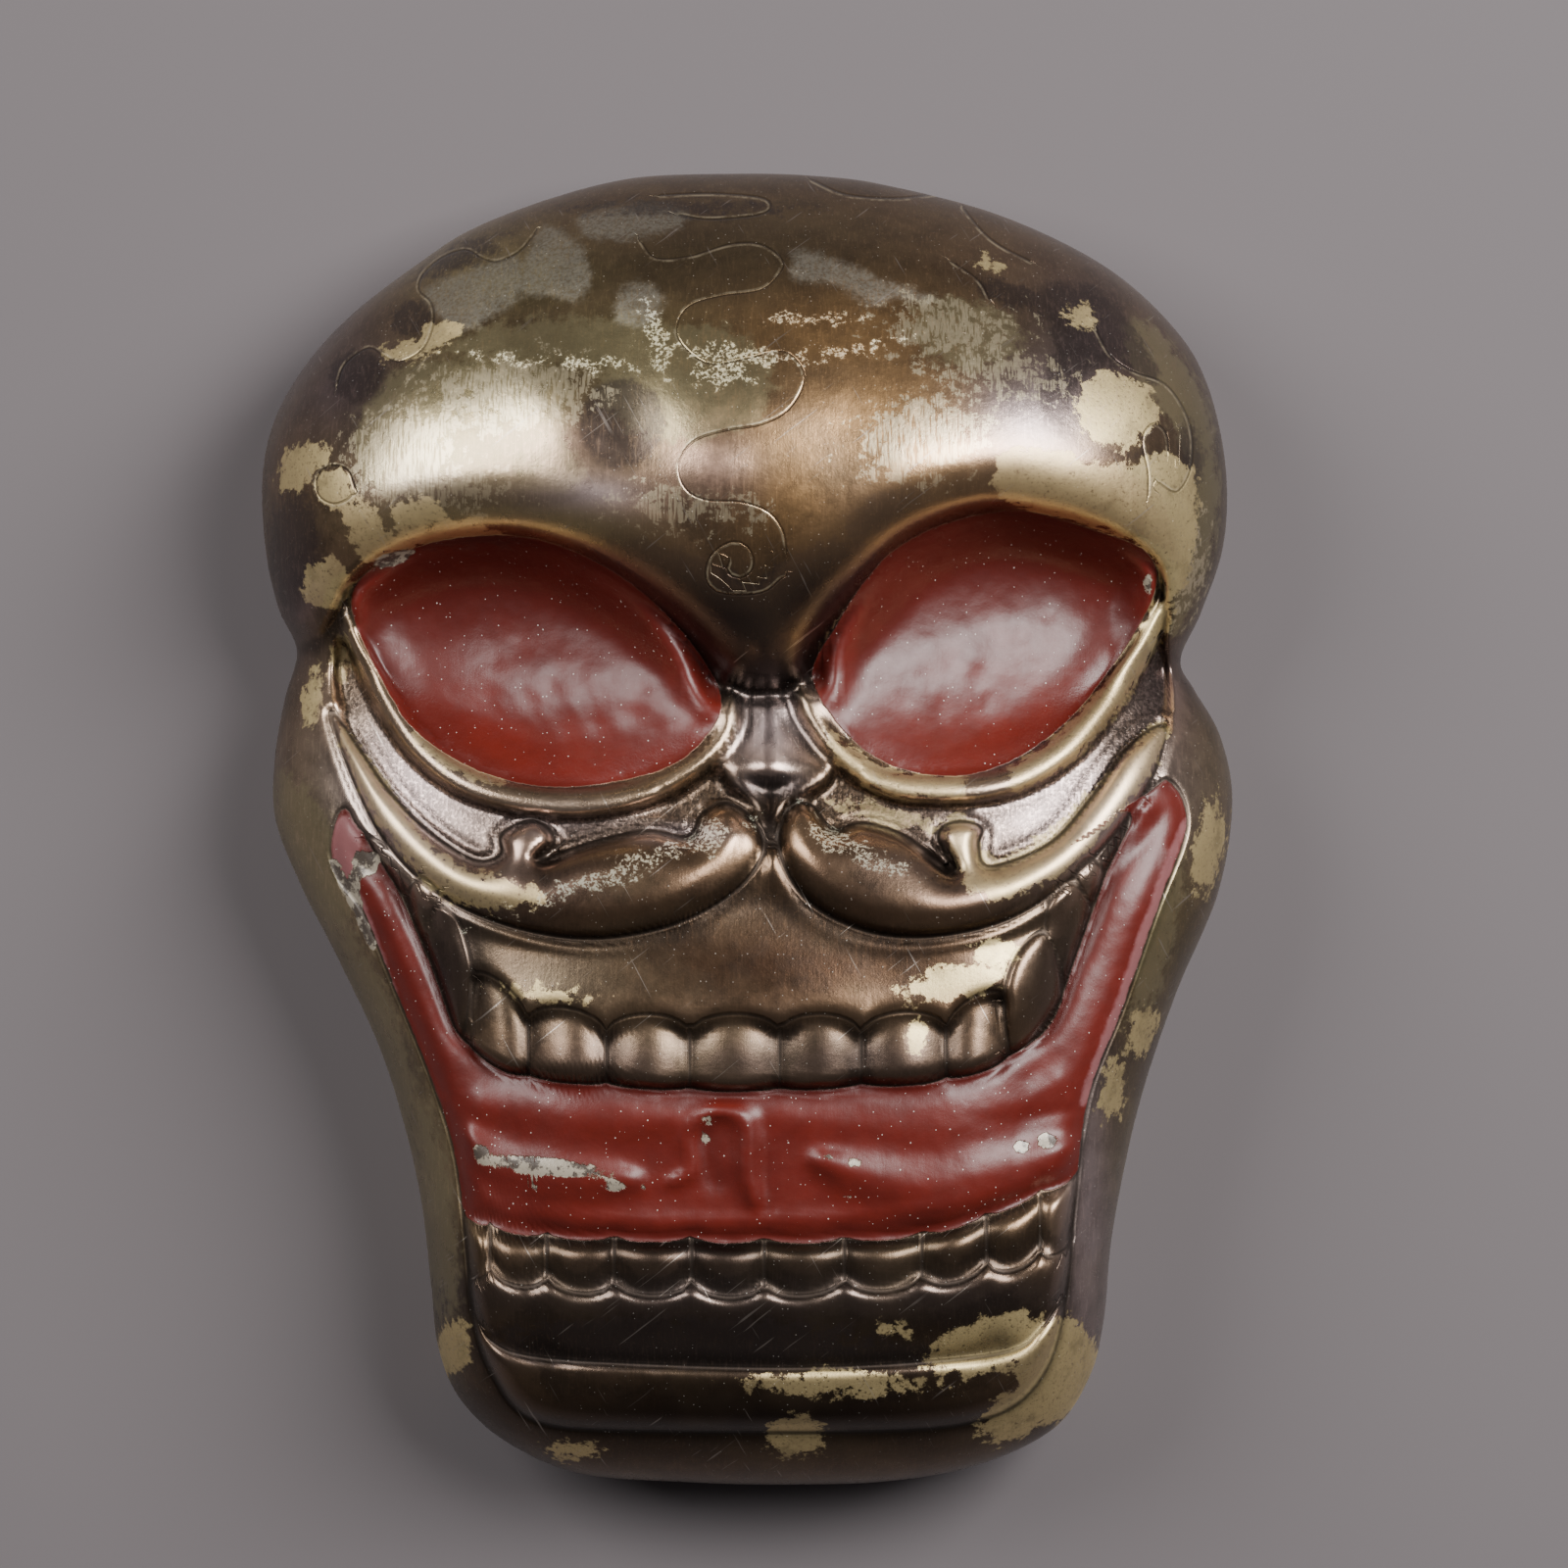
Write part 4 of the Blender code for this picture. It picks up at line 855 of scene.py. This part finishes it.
def blend(tree, share, a, b, kind="MIX"):
    # colour a with colour b laid over it by a share
    a, b = [(*value, 1.0) if isinstance(value, tuple) else value for value in (a, b)]
    inputs = {0: share, 6: a, 7: b}
    return node(tree, "ShaderNodeMix", inputs, data_type="RGBA", blend_type=kind).outputs[2]


def noise(tree, place, scale, detail, rough):
    inputs = {"Vector": place, "Scale": scale, "Detail": detail, "Roughness": rough}
    return node(tree, "ShaderNodeTexNoise", inputs).outputs["Fac"]


def stretched(tree, place, scale):
    return node(tree, "ShaderNodeMapping", {"Vector": place, "Scale": scale}).outputs["Vector"]


def field(tree, name, output="Fac"):
    # one of the mesh's own attributes
    return node(tree, "ShaderNodeAttribute", attribute_name=name, attribute_type="GEOMETRY").outputs[output]


def newGroup(name, inputs):
    # a node group with the given inputs (name: default, or None for a vector) and one output, Mask
    group = bpy.data.node_groups.new(name, "ShaderNodeTree")
    for title, value in inputs.items():
        kind = "NodeSocketVector" if value is None else "NodeSocketFloat"
        socket = group.interface.new_socket(name=title, in_out="INPUT", socket_type=kind)
        if value is not None:
            socket.default_value = value
    group.interface.new_socket(name="Mask", in_out="OUTPUT", socket_type="NodeSocketFloat")
    return group, group.nodes.new("NodeGroupInput").outputs, group.nodes.new("NodeGroupOutput").inputs["Mask"]


def raggedGroup():
    # turns a depth in drawing units into a flaky mask: depth + reach (noise - 0.5), cut at nought
    inputs = {"Depth": 0.0, "Noise": 0.5, "Reach": 20.0, "Softness": 2.0}
    group, given, result = newGroup("raggedEdge", inputs)
    wander = calc(group, "SUBTRACT", given["Noise"], 0.5)
    moved = calc(group, "MULTIPLY_ADD", wander, given["Reach"], given["Depth"])
    below = calc(group, "MULTIPLY", given["Softness"], -1.0)
    group.links.new(step(group, moved, below, given["Softness"]), result)
    return group


def specksGroup():
    # small round specks: distance to the nearest cell point, kept for a random share of the cells
    group, given, result = newGroup("specks", {"Place": None, "Scale": 900.0, "Share": 0.3, "Size": 0.2})
    cell = node(group, "ShaderNodeTexVoronoi", {"Vector": given["Place"], "Scale": given["Scale"]})
    parts = node(group, "ShaderNodeSeparateColor", {"Color": cell.outputs["Color"]}).outputs
    size = calc(group, "MULTIPLY", given["Size"], parts["Green"])
    within = calc(group, "LESS_THAN", cell.outputs["Distance"], size)
    kept = calc(group, "LESS_THAN", parts["Red"], given["Share"])
    group.links.new(calc(group, "MULTIPLY", within, kept), result)
    return group


def scratchGroup():
    # fine scratches: turned and very stretched noise, kept only where it peaks
    group, given, result = newGroup("scratches", {"Place": None, "Turn": None, "Level": 0.68})
    turned = node(group, "ShaderNodeMapping", {"Vector": given["Place"], "Rotation": given["Turn"]})
    long = stretched(group, turned.outputs["Vector"], (1100.0, 34.0, 60.0))
    peak = calc(group, "ADD", given["Level"], 0.05)
    cut = node(group, "ShaderNodeMapRange", {"Value": noise(group, long, 1.0, 2.0, 0.6),
                                             "From Min": given["Level"], "From Max": peak})
    group.links.new(cut.outputs["Result"], result)
    return group


def makeBrass():
    # the tone of each place, then patches, wear, dirt, scratches and paint laid over it one by one, among
    # them some painted shade, painted highlights and painted glints
    material = bpy.data.materials.new("oldBrass")
    material.use_nodes = True
    tree = material.node_tree
    shader = tree.nodes["Principled BSDF"]
    place = node(tree, "ShaderNodeTexCoord").outputs["Object"]
    groups = {"ragged": raggedGroup(), "specks": specksGroup(), "scratches": scratchGroup()}

    def use(kind, **inputs):
        made = tree.nodes.new("ShaderNodeGroup")
        made.node_tree = groups[kind]
        for name, value in inputs.items():
            if isinstance(value, bpy.types.NodeSocket):
                tree.links.new(value, made.inputs[name])
            else:
                made.inputs[name].default_value = value
        return made.outputs["Mask"]

    def times(a, b):
        return calc(tree, "MULTIPLY", a, b)

    def line(name, width):
        # a thin line where a signed distance passes nought
        return step(tree, calc(tree, "ABSOLUTE", field(tree, name)), *width, 1.0, 0.0)

    broad, blotch, flaky, grain, lumps = [noise(tree, place, *values) for values in textures.values()]
    streaks = noise(tree, stretched(tree, place, (1700.0, 150.0, 400.0)), 1.0, 2.0, 0.6)

    def ragged(name):
        reach, softness = edges[name]
        return use("ragged", Depth=field(tree, name), Noise=flaky, Reach=reach, Softness=softness)

    tone = field(tree, "tone", "Color")
    shaded = blend(tree, 0.75, tone, finish["shade"])
    colour = blend(tree, step(tree, blotch, 0.36, 0.66, 0.0, 0.45), tone, shaded)
    colour = blend(tree, step(tree, broad, 0.45, 0.70, 0.0, 0.25), colour, finish["bloom"])
    # a lighter copy of the tone, for wear on raised edges and for painted glints
    wearAndGlint = blend(tree, 1.0, tone, finish["wearAndGlintGain"], "MULTIPLY")
    colour = blend(tree, times(ragged("olive"), 0.6), colour, finish["olive"])
    grey = ragged("grey")
    colour = blend(tree, times(grey, step(tree, grain, 0.34, 0.60, 0.20, 0.62)), colour, finish["grey"])
    # dark stains, partly painted shade
    colour = blend(tree, times(ragged("stainAndShade"), 0.7), colour, finish["stainAndShade"])
    # bright worn flakes set where the highlights fall, so partly a painted highlight
    flakesAndHighlight = times(ragged("flakesAndHighlight"), step(tree, streaks, 0.38, 0.52))
    colour = blend(tree, times(flakesAndHighlight, 0.6), colour, finish["flakeAndHighlight"])
    gold = times(ragged("gold"), step(tree, grain, 0.26, 0.46, 0.35, 1.0))
    goldColour = blend(tree, step(tree, blotch, 0.32, 0.50), finish["dullGold"], finish["gold"])
    colour = blend(tree, gold, colour, goldColour)
    wander = calc(tree, "SUBTRACT", flaky, 0.5)
    crest = step(tree, calc(tree, "MULTIPLY_ADD", wander, 1.6, field(tree, "crest")), 0.5, 1.3)
    colour = blend(tree, times(crest, 0.35), colour, wearAndGlint)
    hollow = step(tree, field(tree, "hollow"), 0.15, 1.5, 0.0, 0.65)
    colour = blend(tree, hollow, colour, finish["dirt"])
    stipple = times(field(tree, "stipple"), step(tree, grain, 0.46, 0.58))
    colour = blend(tree, times(stipple, 0.16), colour, wearAndGlint)
    colour = blend(tree, step(tree, streaks, 0.50, 0.75, 0.0, 0.22), colour, wearAndGlint)
    # painted glints: the peaks of the fine grain noise lightened to stand in for sparkle
    colour = blend(tree, times(step(tree, grain, 0.58, 0.72), 0.32), colour, wearAndGlint)
    creaseLine = times(line("crease", (0.3, 3.6)), field(tree, "creaseNear"))
    toothLine = times(line("tooth", (0.3, 3.6)), field(tree, "toothNear"))
    chaseLine = times(line("chase", (0.2, 1.8)), field(tree, "chaseNear"))
    lipAway = calc(tree, "ABSOLUTE", calc(tree, "SUBTRACT", field(tree, "chase"), 2.2))
    chaseLip = times(step(tree, lipAway, 0.2, 1.6, 1.0, 0.0), field(tree, "chaseNear"))
    chaseLip = times(chaseLip, step(tree, flaky, 0.36, 0.60))
    sunk = calc(tree, "MAXIMUM", creaseLine, toothLine)
    colour = blend(tree, times(sunk, 0.75), colour, finish["dirt"])
    colour = blend(tree, times(chaseLine, 0.45), colour, finish["dirt"])
    colour = blend(tree, times(chaseLip, 0.55), colour, finish["flakeAndHighlight"])
    scratch = calc(tree, "MAXIMUM", use("scratches", Place=place, Turn=(0.0, 0.0, 0.9), Level=0.69),
                   use("scratches", Place=place, Turn=(0.0, 0.0, -0.5), Level=0.70))
    colour = blend(tree, times(scratch, 0.4), colour, finish["pale"])
    crust = times(ragged("crust"), step(tree, grain, 0.47, 0.56))
    colour = blend(tree, times(crust, 0.45), colour, finish["crust"])
    chip = ragged("chip")
    paint = times(ragged("paint"), calc(tree, "SUBTRACT", 1.0, chip))
    red = blend(tree, step(tree, blotch, 0.3, 0.7, 0.0, 0.4), finish["paint"], finish["paintDark"])
    red = blend(tree, times(hollow, 0.8), red, finish["paintDark"])
    # painted highlight: lighter pink along the band edges
    red = blend(tree, times(ragged("paintEdgeHighlight"), 0.8), red, finish["paintEdgeHighlight"])
    chipColour = blend(tree, step(tree, flaky, 0.47, 0.54), finish["bareMetal"], finish["primer"])
    colour = blend(tree, chip, colour, chipColour)
    colour = blend(tree, paint, colour, red)
    dust = calc(tree, "MAXIMUM", use("specks", Place=place, Scale=880.0, Share=0.42, Size=0.16),
                use("specks", Place=place, Scale=420.0, Share=0.05, Size=0.09))
    dust = times(dust, calc(tree, "MULTIPLY_ADD", paint, 0.35, 0.25))
    colour = blend(tree, dust, colour, finish["dust"])
    inside = field(tree, "inside")
    colour = blend(tree, inside, colour, blend(tree, blotch, finish["back"], finish["backLight"]))
    dull = calc(tree, "MAXIMUM", calc(tree, "MAXIMUM", paint, times(chip, 0.85)),
                calc(tree, "MAXIMUM", dust, crust))
    metal = times(calc(tree, "SUBTRACT", 1.0, dull), finish["metallic"])
    masks = {"gold": gold, "grey": grey, "sunk": sunk, "inside": inside, "dust": dust, "paint": paint,
             "teeth": field(tree, "toothNear"), "blotch": blotch, "chaseLine": chaseLine, "stipple": stipple,
             "streaks": streaks, "paintLumps": times(paint, lumps)}
    rough = calc(tree, "MULTIPLY_ADD", flaky, 0.16, finish["patinaRoughness"])
    for name, more in rougher.items():
        rough = calc(tree, "MULTIPLY_ADD", masks[name], more, rough)
    height = times(grain, grainHeight)
    for name, rise in relief.items():
        height = calc(tree, "MULTIPLY_ADD", masks[name], rise, height)
    bump = node(tree, "ShaderNodeBump", {"Height": height, "Distance": 0.001, "Strength": 1.0})
    for name, value in (("Normal", bump.outputs["Normal"]), ("Base Color", colour), ("Metallic", metal),
                        ("Roughness", rough)):
        tree.links.new(value, shader.inputs[name])
    shader.inputs["Coat Weight"].default_value = finish["coat"]
    shader.inputs["Coat Roughness"].default_value = finish["coatRoughness"]
    shader.inputs["Specular IOR Level"].default_value = finish["specular"]
    return material


mesh.materials.append(makeBrass())
print("material ready")

studio = {
    "lights": [  # name, place, width, height, watts, colour
        ("leftBox", (-0.92, 0.52, 1.02), 0.76, 0.85, 28.0, (1.0, 0.985, 0.97)),
        ("rightBox", (0.80, 0.47, 1.08), 0.70, 0.95, 53.0, (1.0, 0.985, 0.97)),
    ],
    "target": (0.0, 0.0, 0.05), "floorHalf": 4.0, "floorGap": 0.0004,
    "world": 0.22, "worldColour": (0.56, 0.53, 0.54), "floorColour": (0.082, 0.073, 0.077),
}


def makeStudio():
    # two soft boxes, a grey world, a pale floor, and the camera over the point the viewer looks straight at
    unit = sheet["height"] / drawing["size"][1]
    target = Vector(studio["target"])
    for name, place, width, height, watts, colour in studio["lights"]:
        lamp = bpy.data.lights.new(name, "AREA")
        lamp.shape = "RECTANGLE"
        lamp.size, lamp.size_y, lamp.energy, lamp.color = width, height, watts, colour
        holder = bpy.data.objects.new(name, lamp)
        holder.location = place
        holder.rotation_euler = (target - Vector(place)).to_track_quat("-Z", "Y").to_euler()
        bpy.context.scene.collection.objects.link(holder)
    world = bpy.data.worlds.new("studio")
    world.use_nodes = True
    world.node_tree.nodes["Background"].inputs["Color"].default_value = (*studio["worldColour"], 1.0)
    world.node_tree.nodes["Background"].inputs["Strength"].default_value = studio["world"]
    bpy.context.scene.world = world
    floorMesh = bpy.data.meshes.new("floor")
    half, under = studio["floorHalf"], -studio["floorGap"]
    corners = [(-half, -half, under), (half, -half, under), (half, half, under), (-half, half, under)]
    floorMesh.from_pydata(corners, [], [(0, 1, 2, 3)])
    floor = bpy.data.objects.new("floor", floorMesh)
    bpy.context.scene.collection.objects.link(floor)
    paper = bpy.data.materials.new("paper")
    paper.use_nodes = True
    shader = paper.node_tree.nodes["Principled BSDF"]
    shader.inputs["Base Color"].default_value = (*studio["floorColour"], 1.0)
    shader.inputs["Roughness"].default_value = 0.9
    floorMesh.materials.append(paper)
    camera = bpy.data.cameras.new("camera")
    eye = bpy.data.objects.new("camera", camera)
    bpy.context.scene.collection.objects.link(eye)
    eye.location = ((drawing["viewAxis"][0] - drawing["centre"][0]) * unit,
                    -(drawing["viewAxis"][1] - drawing["centre"][1]) * unit, drawing["viewDistance"])
    camera.sensor_width = 36.0
    away = drawing["viewDistance"] - sheet["sideHeight"]
    camera.lens = camera.sensor_width * away / (drawing["frameSize"] * unit)
    bpy.context.scene.camera = eye


makeStudio()
print("studio ready")
